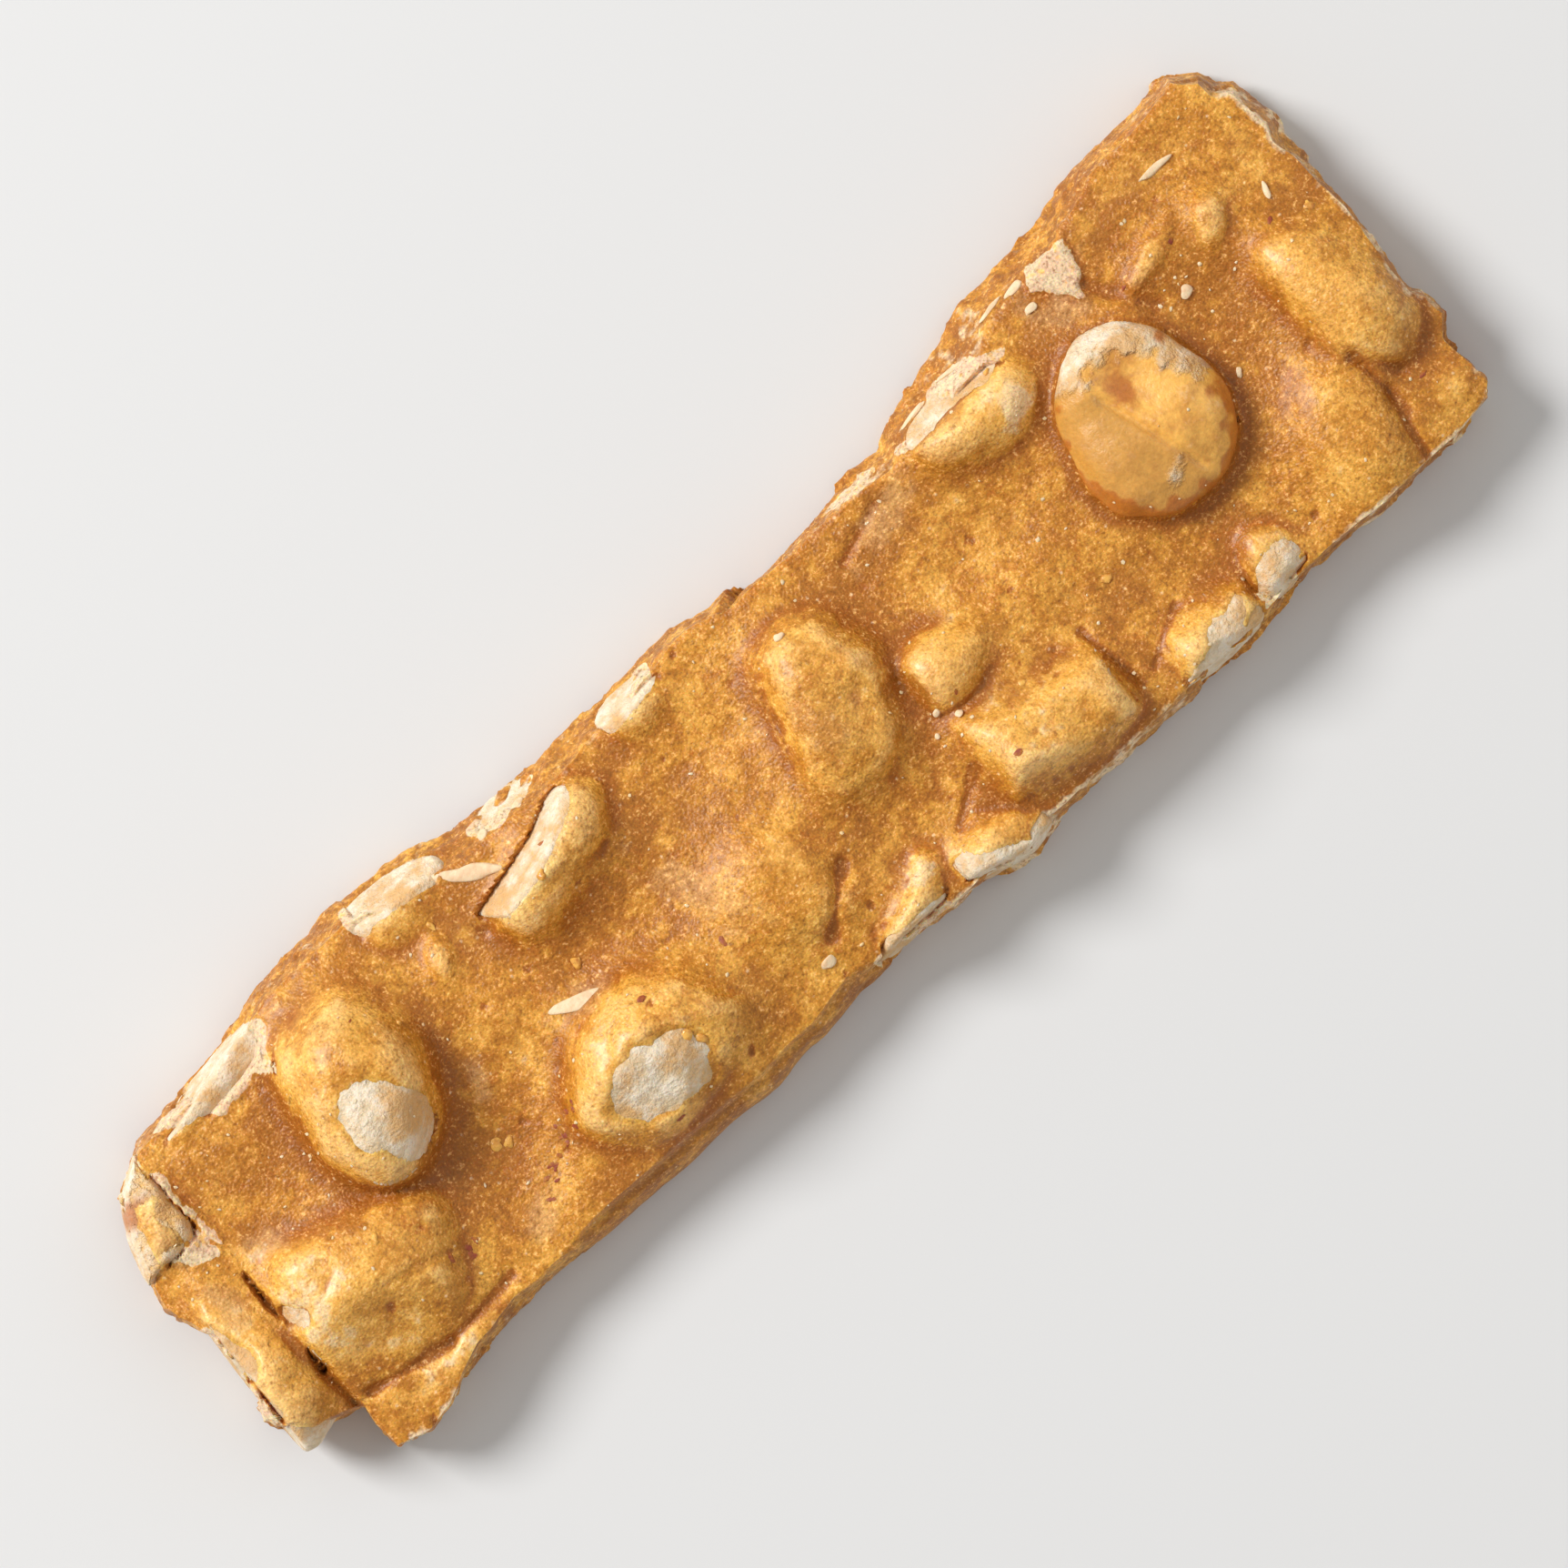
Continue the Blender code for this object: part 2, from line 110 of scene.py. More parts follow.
# The form of each peanut.
#   form: length, width and height before its broken faces are cut off; turn: about Z
#   tilt: how far the +length end is raised; square: below 1 the form is blockier than an egg
#   lumps: how uneven the form is; wrinkle: depth of its skin's wrinkles
#   coat: thickness of the candy over it; snug: 0 where the candy runs up to it, 1 for a crisp crease
#   fade: azimuth of the side where the candy runs up anyway
#   glow: how yellow it shows through the candy, and the azimuth of the side where painted light makes it
#       show most
#   cuts: broken faces, as azimuth and elevation of the face and its share of the way out
#   bare: which of those faces show through the candy
PEANUTS = {
    "peanut_standing": dict(
        form=(14.2, 9.8, 9.2), turn=-107, tilt=13, lumps=0.9, wrinkle=0.1, coat=0.3, snug=0.8, fade=50,
        glow=(0.55, 175),
        cuts=((-60, 25, 0.92), (160, 30, 0.9), (-150, 50, 0.93))),
    "peanut_block": dict(
        form=(13.8, 11.6, 7.8), turn=-16, square=0.76, lumps=0.6, coat=0.35, snug=0.6, fade=180,
        glow=(0.95, 150),
        cuts=((180, 0, 0.88), (-106, 60, 0.74), (74, 30, 0.84), (-30, 40, 0.9))),
    "peanut_end_lobe": dict(
        form=(15.2, 10.0, 7.0), turn=84, square=0.95, lumps=1.3, coat=0.35, snug=0.4, glow=(1.0, 100),
        cuts=((0, 0, 0.8), (40, 50, 0.85))),
    "peanut_corner_chip": dict(
        form=(9.6, 7.2, 6.2), turn=66, square=0.8, lumps=1.2, wrinkle=0.2, coat=0.15, snug=0.2,
        glow=(0.8, 180),
        cuts=((0, 10, 0.7), (150, 60, 0.5), (-90, 10, 0.8), (60, 60, 0.7))),
    "peanut_cut_half": dict(
        form=(13.0, 7.8, 6.4), turn=13, lumps=0.7, coat=0.3, snug=0.6, fade=-80, glow=(0.6, 190),
        bare=(0,),
        cuts=((106, 32, 0.42), (-76, 35, 0.85), (193, 20, 0.8))),
    "peanut_bare_patch": dict(
        form=(14.2, 9.8, 8.0), turn=-10, lumps=0.9, wrinkle=0.16, coat=0.4, snug=0.4, fade=5,
        glow=(0.75, 165),
        cuts=((-120, 62, 0.84), (20, 35, 0.85))),
    "peanut_wedge": dict(
        form=(13.6, 9.8, 6.6), turn=-116, square=0.85, lumps=0.9, wrinkle=0.2, coat=0.3, snug=0.6,
        fade=-110, glow=(0.5, 20),
        cuts=((156, 30, 0.72), (20, 30, 0.86))),
    "peanut_tip": dict(
        form=(9.4, 6.0, 5.4), turn=-6, tilt=-14, lumps=0.6, coat=0.25, snug=0.75, fade=0,
        glow=(1.0, 170),
        cuts=((175, 25, 0.82), (-60, 40, 0.85))),
    "peanut_big_chunk": dict(
        form=(14.6, 8.4, 7.2), turn=-13, square=0.78, lumps=1.2, wrinkle=0.25, coat=0.25, snug=0.7,
        fade=120, glow=(0.9, 70),
        cuts=((-8, 10, 0.84), (70, 45, 0.72), (-105, 35, 0.82), (175, 30, 0.75), (30, 60, 0.85))),
    "peanut_edge_wedge": dict(
        form=(8.8, 5.6, 5.6), turn=26, square=0.8, lumps=1.0, wrinkle=0.2, coat=0.25, snug=0.7,
        glow=(0.9, 90),
        cuts=((110, 45, 0.7), (15, 0, 0.8), (150, 20, 0.8))),
    "peanut_edge_chip": dict(
        form=(7.6, 5.4, 5.8), turn=-18, square=0.8, lumps=1.0, wrinkle=0.2, coat=0.25, snug=0.7,
        glow=(0.9, 100),
        cuts=((-90, 42, 0.8), (5, 0, 0.86), (100, 45, 0.8))),
    "peanut_slim": dict(
        form=(10.2, 6.6, 5.2), turn=-9, lumps=0.6, coat=0.25, snug=0.6, fade=180, glow=(1.0, -20),
        cuts=((88, 38, 0.6), (-100, 45, 0.9))),
    "peanut_half": dict(
        form=(13.8, 11.6, 6.6), turn=78, square=0.9, lumps=0.6, coat=-0.4, snug=0.9, glow=(0.7, 0),
        bare=(1,),
        cuts=((60, 82, 0.9), (75, 34, 0.93), (-100, 50, 0.95))),
    "peanut_end_long": dict(
        form=(13.2, 7.2, 6.8), turn=96, square=0.92, lumps=0.5, coat=0.35, snug=0.6, fade=60,
        glow=(1.0, 180),
        cuts=((175, 30, 0.86), (20, 55, 0.9))),
    "peanut_edge_small": dict(
        form=(6.4, 5.0, 5.2), turn=80, lumps=0.6, coat=0.22, snug=0.8, glow=(0.9, 60),
        cuts=((-85, 30, 0.78),)),
    "peanut_edge_chunk": dict(
        form=(9.0, 5.8, 5.4), turn=12, square=0.78, lumps=1.1, wrinkle=0.24, coat=0.25, snug=0.6,
        glow=(0.8, 80),
        cuts=((-90, 45, 0.6), (80, 50, 0.8), (170, 30, 0.8))),
    "peanut_rim_1": dict(
        form=(11.6, 5.6, 4.6), turn=2, square=0.8, lumps=0.5, coat=0.15, snug=0.3,
        cuts=((94, 58, 0.8), (-80, 50, 0.8))),
    "peanut_rim_2": dict(
        form=(9.2, 6.6, 4.8), turn=-6, lumps=0.4, coat=0.2, snug=0.5),
    "peanut_rim_3": dict(
        form=(7.8, 3.6, 4.2), turn=-4, lumps=0.4, coat=0.2, snug=0.5),
    "peanut_rim_4": dict(
        form=(6.0, 4.8, 4.6), turn=-8, lumps=0.4, coat=0.2, snug=0.5),
}

# Peanuts that the break ran through: facets of the break on each, and the axes it shortened
BROKEN_SIDES = {
    "peanut_end_lobe": (1, (0,)), "peanut_corner_chip": (4, (0, 1)), "peanut_edge_wedge": (2, (1,)),
    "peanut_edge_chip": (3, (1,)), "peanut_edge_small": (2, (1,)), "peanut_edge_chunk": (3, (1,)),
    "peanut_rim_1": (2, (1,)), "peanut_rim_2": (3, (1,)), "peanut_rim_3": (2, (1,)),
    "peanut_rim_4": (2, (1,)),
}

# Where the candy is chipped off a peanut and its bare flesh shows: x, y, half length, half width, turn
BARE_PATCHES = (
    (-35.0, 2.9, 3.2, 1.9, -72),
    (-20.2, -8.1, 3.4, 2.1, -8),
)

# Pale broken places: corners of the outline, and how far the place stands above or below the candy
CHIPS = (
    (0.12, (-47.3, 13.7), (-42.0, 14.0), (-36.4, 14.4), (-38.4, 10.8), (-39.6, 11.5), (-43.0, 11.1)),
    (0.1, (-28.3, 13.9), (-27.6, 15.3), (-25.0, 15.9), (-22.6, 15.1), (-21.2, 14.0), (-23.6, 13.4),
     (-26.2, 12.9), (-28.0, 13.1)),
    (0.1, (-17.9, 12.9), (-16.8, 13.8), (-14.6, 14.2), (-12.4, 13.8), (-11.8, 12.7), (-13.4, 11.9),
     (-15.8, 11.6), (-17.4, 12.0)),
    (0.1, (-5.7, 12.6), (-4.4, 13.4), (-2.2, 13.5), (-0.4, 12.6), (-1.4, 11.5), (-3.4, 11.1),
     (-5.2, 11.6)),
    (0.1, (20.6, 10.6), (24.0, 10.9), (26.0, 12.2), (28.4, 12.3), (31.8, 10.3), (29.4, 9.8),
     (26.0, 10.1), (23.0, 9.9)),
    (0.05, (14.0, 11.4), (18.0, 11.5), (20.2, 11.0), (18.4, 10.5), (15.0, 10.8)),
    (0.35, (35.7, 11.9), (36.6, 13.4), (39.8, 13.0), (39.3, 11.0), (38.0, 9.0), (37.1, 9.8)),
    (0.05, (-49.4, -0.6), (-48.3, -2.6), (-48.8, -3.3), (-49.5, -2.8)),
    (0.25, (-49.7, 13.0), (-49.2, 13.2), (-49.1, 4.5), (-49.5, 4.4)),
    (0.2, (-52.6, 13.2), (-49.8, 13.5), (-49.7, 11.2), (-51.4, 11.0), (-52.2, 11.9)),
    (0.1, (-51.0, 9.4), (-50.0, 9.8), (-49.6, 5.8), (-50.6, 6.0)),
    (0.1, (-53.0, 7.3), (-51.6, 7.0), (-49.6, 5.2), (-49.8, 4.4), (-51.8, 5.2)),
    (0.1, (-54.2, 9.6), (-53.0, 9.0), (-52.9, 7.6), (-54.0, 8.0)),
    (0.0, (-55.4, 1.6), (-53.9, 1.8), (-53.0, -2.2), (-54.0, -3.4), (-55.4, -2.0)),
    (0.0, (-56.0, -2.6), (-54.7, -3.4), (-54.5, -6.4), (-56.4, -6.6)),
    (0.0, (31.7, -14.8), (33.0, -12.4), (35.8, -12.1), (36.4, -13.6), (33.8, -15.2)),
    (0.0, (27.3, -14.2), (28.6, -12.9), (31.0, -12.8), (30.4, -14.2), (28.0, -15.0)),
    (0.0, (4.0, -12.0), (5.2, -12.0), (7.2, -13.9), (8.9, -14.4), (8.4, -15.0), (4.2, -13.6)),
    (0.0, (-4.6, -12.9), (-2.0, -12.9), (2.6, -13.2), (2.4, -13.9), (-4.0, -13.6)),
)

# Hills where the candy covers a peanut wholly, or has run: x, y, half length, half width, height, turn
MOUNDS = (
    (-52.6, -2.8, 2.3, 6.8, 0.9, 0),
    (-52.2, 4.2, 2.2, 3.2, 1.0, 0),
    (-5.2, -4.6, 5.4, 4.8, 2.5, -25),
    (-1.5, -9.6, 4.0, 2.0, 0.6, -35),
    (44.4, -10.2, 5.6, 4.4, 2.7, 80),
    (51.0, -12.9, 2.9, 2.2, 1.1, 0),
    (43.6, 8.0, 3.8, 1.2, 1.0, 17),
    (47.7, 6.8, 2.3, 1.5, 1.5, 50),
    (-24.6, 4.0, 2.6, 5.4, 1.0, 20),
    (-24.9, 8.4, 2.0, 1.2, 0.9, 55),
    (-45.5, 8.6, 5.0, 4.6, 0.5, 0),
    (18.5, -2.2, 5.5, 2.8, 0.9, 0),
    (-31.0, -4.5, 5.0, 4.0, -0.9, 30),
    (24.5, 2.0, 5.0, 5.0, -0.5, 0),
    (-12.5, 0.0, 8.0, 3.0, -0.3, 0),
    (41.5, 0.5, 2.2, 5.0, -0.8, 0),
)

# Cracks and creases: x, y of both ends, half width, depth
CRACKS = (
    (-49.7, 2.3, -50.1, -2.8, 0.09, 1.1),
    (-50.1, -2.8, -50.4, -6.0, 0.08, 1.0),
    (-50.4, -6.2, -50.6, -9.6, 0.25, 0.6),
    (-49.2, -9.4, -43.0, -10.9, 0.35, 0.5),
    (-43.0, -10.9, -36.8, -10.6, 0.3, 0.35),
    (-43.0, -5.0, -38.6, -6.4, 0.22, 0.2),
    (-46.5, -2.4, -44.2, -1.4, 0.2, 0.18),
    (9.9, 3.2, 7.2, 7.4, 0.2, 0.3),
    (21.6, -7.0, 22.2, -12.4, 0.2, 0.35),
    (10.0, -8.4, 6.4, -10.6, 0.2, 0.25),
    (23.4, -12.2, 27.4, -10.2, 0.22, 0.3),
    (30.8, -15.4, 33.0, -10.8, 0.18, 0.4),
    (-1.0, -6.6, -5.0, -9.6, 0.45, 0.5),
    (33.6, 6.6, 30.2, 3.0, 0.25, 0.3),
    (38.6, 9.6, 41.0, 5.2, 0.5, 0.35),
    (13.5, 7.8, 18.0, 9.2, 0.3, 0.3),
    (-21.5, 7.4, -12.0, 6.0, 0.5, 0.3),
    (47.9, -6.8, 49.8, -9.6, 0.4, 0.5),
    (47.9, -6.8, 48.2, -12.2, 0.35, 0.4),
    (48.0, -10.2, 46.9, -15.2, 0.35, 0.45),
)

# Painted shade in the hollows, where the candy is coloured darker: x, y, half length, half width, turn,
# strength
HOLLOW_SHADES = (
    (-34.6, -3.0, 3.6, 2.6, -35, 1.0),
    (-31.5, -6.5, 2.4, 2.0, 0, 0.6),
    (-45.2, 8.0, 4.4, 4.0, 0, 0.55),
    (-16.0, 6.0, 5.8, 1.1, 12, 0.55),
    (-11.5, -9.6, 4.0, 2.8, 0, 0.45),
    (8.2, -3.0, 2.2, 2.4, 0, 0.55),
    (1.4, -3.0, 1.8, 2.8, 0, 0.5),
    (4.6, 1.0, 4.4, 2.4, 62, 0.75),
    (25.4, -7.2, 3.6, 2.6, 0, 0.65),
    (44.4, 6.0, 4.2, 2.2, 15, 0.6),
    (43.6, -1.0, 2.2, 3.6, 0, 0.55),
    (48.0, -5.6, 1.8, 2.6, 0, 0.5),
    (34.5, -11.0, 4.6, 1.6, 0, 0.5),
    (26.5, 10.4, 3.6, 1.2, 0, 0.3),
)

# Candy painted yellow, partly where it lies thin over peanuts and partly as painted light and highlights:
# x, y, half length, half width, turn, strength
GLOWS = (
    (-43.5, -11.4, 5.8, 1.5, 5, 0.75),
    (-52.3, 1.0, 1.3, 2.6, 0, 1.0),
    (-47.4, 2.7, 2.0, 1.1, -20, 1.0),
    (-46.8, -1.6, 2.4, 1.6, 0, 1.0),
    (-54.0, -5.4, 1.2, 2.4, 10, 0.9),
    (-35.5, 12.6, 5.0, 1.6, 10, 0.5),
    (-22.0, -11.8, 8.0, 1.5, 0, 0.55),
    (-23.0, 8.0, 1.4, 3.2, -20, 0.65),
    (-25.6, 1.6, 2.4, 3.2, 0, 0.45),
    (-3.4, -3.0, 1.8, 3.4, 0, 0.75),
    (-8.0, 3.2, 4.0, 2.0, 20, 0.35),
    (15.6, 0.0, 3.6, 2.6, 0, 0.35),
    (20.6, 5.0, 5.4, 2.6, 10, 0.3),
    (46.0, 12.6, 7.4, 2.0, 5, 0.55),
    (52.8, 6.0, 1.3, 5.0, 0, 0.5),
    (51.2, -13.0, 2.4, 2.0, 0, 0.6),
    (44.0, -9.2, 4.6, 2.8, 70, 0.5),
    (48.4, 6.6, 1.8, 1.1, 50, 0.8),
    (43.4, 8.2, 2.8, 0.6, 17, 0.6),
)

# Dull pale veils on the candy, some of them painted highlights on the peanuts: x, y, half length, half
# width, turn
HAZES_AND_HIGHLIGHTS = (
    (-9.2, -1.0, 4.2, 1.6, -78),
    (-20.2, -0.6, 2.4, 1.2, -25),
    (-32.8, -9.0, 1.9, 1.3, 0),
    (17.5, 8.0, 3.6, 1.2, 12),
    (37.0, 10.5, 2.4, 2.2, 0),
    (-29.0, 0.5, 1.6, 0.8, 60),
    (-47.4, 2.9, 1.8, 0.9, -25),
    (-52.0, 1.0, 0.9, 2.2, 0),
    (-51.8, 7.0, 0.8, 1.6, 0),
)

# Where the broken side is crushed and pale: x, y, reach, how pale
CHALK = (
    (12, -15, 15, 0.9), (42, -16, 4, 0.9), (50, -15.5, 5, 1.0), (-48, -14, 4, 0.9), (55.5, 9, 6, 1.0),
    (55, -3, 7, 0.75), (-55.8, -5, 3, 1.0), (30, 14, 8, 0.45), (18, 12, 4, 0.6), (-51, 12, 4, 0.7),
    (-42, 14, 5, 0.4), (-19, 14, 8, 0.4),
)

# Pale flakes and slivers: x, y, half length, half width, turn, thickness
FLAKES = (
    (35.0, 12.8, 0.8, 0.35, 10, 0.3), (34.8, 11.0, 0.6, 0.3, 0, 0.3), (-20.4, -0.6, 1.9, 0.55, -22, 0.3),
    (-19.5, 11.0, 2.2, 0.6, -36, 0.4), (-6.4, -10.7, 0.6, 0.4, 10, 0.3), (47.4, 11.8, 1.3, 0.25, -4, 0.3),
    (51.9, 5.4, 0.6, 0.2, 70, 0.3), (19.8, 10.1, 0.5, 0.45, 0, 0.5), (-14.0, 11.9, 0.6, 0.3, 10, 0.4),
    (-17.0, 12.1, 0.5, 0.3, 50, 0.4), (41.8, -2.1, 0.4, 0.2, 60, 0.3), (43.2, 4.4, 0.45, 0.35, 30, 0.4),
    (6.8, 7.3, 0.35, 0.3, 0, 0.4), (10.8, -3.9, 0.3, 0.25, 40, 0.4), (11.8, -5.1, 0.28, 0.24, 0, 0.4),
    (9.7, -5.1, 0.2, 0.2, 0, 0.3), (24.0, 11.6, 1.4, 0.2, 6, 0.25), (28.0, 11.9, 1.1, 0.2, -14, 0.25),
    (33.0, 13.0, 1.0, 0.18, 8, 0.25),
)

# Middles of the loose groups of sugar grains
GRAIN_GROUPS = (
    (-36, 3), (11, -4.5), (-16, 12), (43, 4), (-42, 5), (18, 9), (0, -12), (35, -12), (-51, 8),
    (24, -13), (-26, -6),
)

THICKNESS = 5.2  # from the underside to the plain top surface
FOOT = 0.5  # how far the underside is set back from the widest line
WIDEST = 0.3  # height of the widest line, as a share of the thickness
CELL = 0.15  # spacing of the relief's table of heights
HALF_TABLE = (60.0, 21.0)  # the table reaches this far from the middle
LEAST_COAT = 0.12  # thickness of candy that smoothing and wrinkles leave over a peanut
NO_NUT = 9  # how thick the candy counts as where no peanut lies under it
ALONG = 420  # strips of the top surface along the shard
ACROSS = 118  # strips across it
WALL_SPACING = 0.27  # between points along the broken edge
WALL_RINGS = 22  # rings of points down the broken side
TAPER = 0.13  # how much a peanut narrows towards its far end
VOXEL = 0.2  # fineness of a peanut's surface

BODY = "root"
CANDY_SLOT = "amber_candy"
PEANUT_SLOT = "roasted_peanut"

VIEW_TURN = -45  # the camera's turn about the vertical, so that the shard lies along the diagonal
VIEW_WIDTH = 0.108  # metres across the picture
FLOOR_WIDTH = 4  # metres

# Lamps: name, place in metres as the picture lies, width, watts
LAMPS = (
    ("Key", (-1.00, 0.32, 0.86), 0.55, 18.6),
    ("Fill", (0.6, 0.35, 0.7), 0.9, 1.2),
)
STUDIO_COLOUR = (1.0, 0.99, 0.97, 1)
STUDIO_STRENGTH = 0.42


# ---------------------------------------------------------------- the table of heights

def noise_band(size, frequency):
    """Which share of each squared frequency to keep for noise with bumps of one size."""
    wide = (math.pi * size * 0.35) ** 2 * frequency
    return np.exp(-2 * wide) - np.exp(-8 * wide)


class Relief:
    """A table of heights over the shard, in millimetres, with the tools that shape it."""

    def __init__(self):
        self.columns = int(2 * HALF_TABLE[0] / CELL) + 1
        self.rows = int(2 * HALF_TABLE[1] / CELL) + 1
        self.x = np.linspace(-HALF_TABLE[0], HALF_TABLE[0], self.columns)[None, :]
        self.y = np.linspace(-HALF_TABLE[1], HALF_TABLE[1], self.rows)[:, None]
        across = np.fft.rfftfreq(self.columns, CELL)[None, :]
        along = np.fft.fftfreq(self.rows, CELL)[:, None]
        self.frequency = across ** 2 + along ** 2
        self.across, self.along = across, along

    def soften(self, field, reach):
        """The field with everything finer than reach smoothed out."""
        keep = np.exp(-2 * (math.pi * reach) ** 2 * self.frequency)
        return np.fft.irfft2(np.fft.rfft2(field) * keep, s=field.shape)

    def grain(self, size, seed, stretch=1.0, turn=0.0):
        """Even noise with bumps of one size, drawn out along turn by stretch."""
        noise = np.random.default_rng(seed).standard_normal((self.rows, self.columns))
        angle = math.radians(turn)
        lengthwise = self.across * math.cos(angle) + self.along * math.sin(angle)
        sideways = self.along * math.cos(angle) - self.across * math.sin(angle)
        band = noise_band(size, (lengthwise * stretch) ** 2 + sideways ** 2)
        made = np.fft.irfft2(np.fft.rfft2(noise) * band, s=noise.shape)
        return made / made.std()

    def oval(self, x, y, half_length, half_width, turn, edge=0.0):
        """Distance from an oval's middle, where 1 is its outline; edge is a field that roughens it."""
        angle = math.radians(turn)
        dx, dy = self.x - x, self.y - y
        along = (dx * math.cos(angle) + dy * math.sin(angle)) / half_length
        across = (dy * math.cos(angle) - dx * math.sin(angle)) / half_width
        return np.hypot(along, across) + edge

    def away_from(self, middle, azimuth):
        """1 all round a place except towards the azimuth, where it falls to 0.15."""
        if azimuth is None:
            return 1.0
        dx, dy = self.x - middle[0], self.y - middle[1]
        azimuth = math.radians(azimuth)
        towards = (dx * math.cos(azimuth) + dy * math.sin(azimuth)) / (np.hypot(dx, dy) + 0.5)
        return 1 - 0.85 * rise(towards, -0.1, 0.8)

    def across_nut(self, middle, reach, azimuth):
        """From 0.15 on the far side of a peanut to 1 on the side that faces the azimuth."""
        azimuth = math.radians(azimuth)
        dx, dy = self.x - middle[0], self.y - middle[1]
        return np.clip(0.65 + 0.4 * (dx * math.cos(azimuth) + dy * math.sin(azimuth)) / reach, 0.15, 1)

    def hill(self, x, y, half_length, half_width, turn):
        """1 at the middle of an oval, falling smoothly to nothing round it."""
        return np.exp(-self.oval(x, y, half_length, half_width, turn) ** 3)

    def line(self, x0, y0, x1, y1, wander=0.0):
        """Distance from a straight line between two points."""
        dx, dy = x1 - x0, y1 - y0
        share = ((self.x - x0) * dx + (self.y - y0) * dy) / (dx * dx + dy * dy)
        share = np.clip(share, 0, 1)
        return np.hypot(self.x - x0 - share * dx, self.y - y0 - share * dy) + wander

    def polygon(self, corners):
        """Distance outside the polygon's outline; below 0 it is inside."""
        gap = np.full((self.rows, self.columns), np.inf)
        inside = np.zeros(gap.shape, bool)
        for (x0, y0), (x1, y1) in zip(corners, corners[1:] + corners[:1]):
            gap = np.minimum(gap, self.line(x0, y0, x1, y1))
            if y0 != y1:
                crossed = (self.y < max(y0, y1)) & (self.y >= min(y0, y1))
                inside ^= crossed & (self.x < x0 + (self.y - y0) * (x1 - x0) / (y1 - y0))
        return np.where(inside, -gap, gap)

    def read(self, field, x, y):
        """The field at given places, read between the table's cells."""
        column = np.clip((x + HALF_TABLE[0]) / CELL, 0, self.columns - 1.001)
        row = np.clip((y + HALF_TABLE[1]) / CELL, 0, self.rows - 1.001)
        c, r = column.astype(int), row.astype(int)
        s, t = column - c, row - r
        low = field[r, c] * (1 - s) + field[r, c + 1] * s
        high = field[r + 1, c] * (1 - s) + field[r + 1, c + 1] * s
        return low * (1 - t) + high * t


def rise(field, low, high):
    """0 below low, 1 above high, and smooth between."""
    share = np.clip((field - low) / (high - low), 0, 1)
    return share * share * (3 - 2 * share)


# ---------------------------------------------------------------- meshes and objects

def only(item):
    """Selects this object alone."""
    for other in bpy.context.view_layer.objects:
        other.select_set(False)
    item.select_set(True)
    bpy.context.view_layer.objects.active = item


def added(name):
    """The object that the last operator made, with its name."""
    made = bpy.context.active_object
    made.name = name
    made.data.name = name
    return made


def points_of(item):
    """The places of an object's points, one row for each."""
    points = np.empty(len(item.data.vertices) * 3)
    item.data.vertices.foreach_get("co", points)
    return points.reshape(-1, 3)


def set_points(item, points):
    item.data.vertices.foreach_set("co", np.ascontiguousarray(points, np.float32).ravel())
    item.data.update()


def normals_of(item):
    normals = np.empty(len(item.data.vertices) * 3, np.float32)
    item.data.vertex_normals.foreach_get("vector", normals)
    return normals.reshape(-1, 3)


def mark(item, name, values):
    """Stores one number for each vertex under a name that a material can read."""
    layer = item.data.attributes.get(name) or item.data.attributes.new(name, "FLOAT", "POINT")
    layer.data.foreach_set("value", np.ascontiguousarray(values, np.float32))


def values_of(item, name):
    """The numbers that mark stored."""
    values = np.empty(len(item.data.vertices), np.float32)
    item.data.attributes[name].data.foreach_get("value", values)
    return values


def modify(item, kind, **settings):
    """Adds a modifier and applies it."""
    only(item)
    modifier = item.modifiers.new(kind.lower(), kind)
    for key, value in settings.items():
        setattr(modifier, key, value)
    bpy.ops.object.modifier_apply(modifier=modifier.name)


def roughen(item, size, depth):
    """Pushes the surface in and out by up to half the depth, in bumps of one size."""
    name = f"clouds {size}"
    texture = bpy.data.textures.get(name) or bpy.data.textures.new(name, "CLOUDS")
    texture.noise_scale = size
    modify(item, "DISPLACE", texture=texture, strength=depth, mid_level=0.5,
           texture_coords="GLOBAL")


def to_metres(item, shade_angle=None):
    """Turns a piece modelled in millimetres into its real size, at the origin."""
    item.data.transform(Matrix.Scale(MM, 4) @ item.matrix_world)
    item.matrix_world = Matrix.Identity(4)
    only(item)
    if shade_angle is None:
        bpy.ops.object.shade_smooth()
    else:
        bpy.ops.object.shade_smooth_by_angle(angle=math.radians(shade_angle))


def hand_over(item, material, replaced=()):
    """The piece rides on the shard, with its material and the solids it stands for."""
    item.data.materials.clear()
    item.data.materials.append(material)
    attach(item, BODY)
    if replaced:
        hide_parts(*replaced)


def direction(azimuth, elevation):
    """The unit vector that points there."""
    azimuth, elevation = math.radians(azimuth), math.radians(elevation)
    flat = math.cos(elevation)
    return Vector((flat * math.cos(azimuth), flat * math.sin(azimuth), math.sin(elevation)))


# ---------------------------------------------------------------- the broken edges

def evenly(points, count, crowd=None):
    """The line read at count + 1 places, even but for a crowd of them about one share of its length."""
    points = np.array(points, float)
    steps = np.hypot(*(points[1:, :2] - points[:-1, :2]).T)
    reached = np.concatenate([[0], np.cumsum(steps)])
    share = np.linspace(0, 1, 4001)
    density = np.ones(len(share))
    if crowd is not None:
        density += 2.2 * np.exp(-((share - crowd) / 0.012) ** 2)
    sums = np.concatenate([[0], np.cumsum((density[1:] + density[:-1]) / 2)])
    goals = reached[-1] * np.interp(np.linspace(0, sums[-1], count + 1), sums, share)
    return np.stack([np.interp(goals, reached, points[:, k]) for k in range(3)], axis=1)


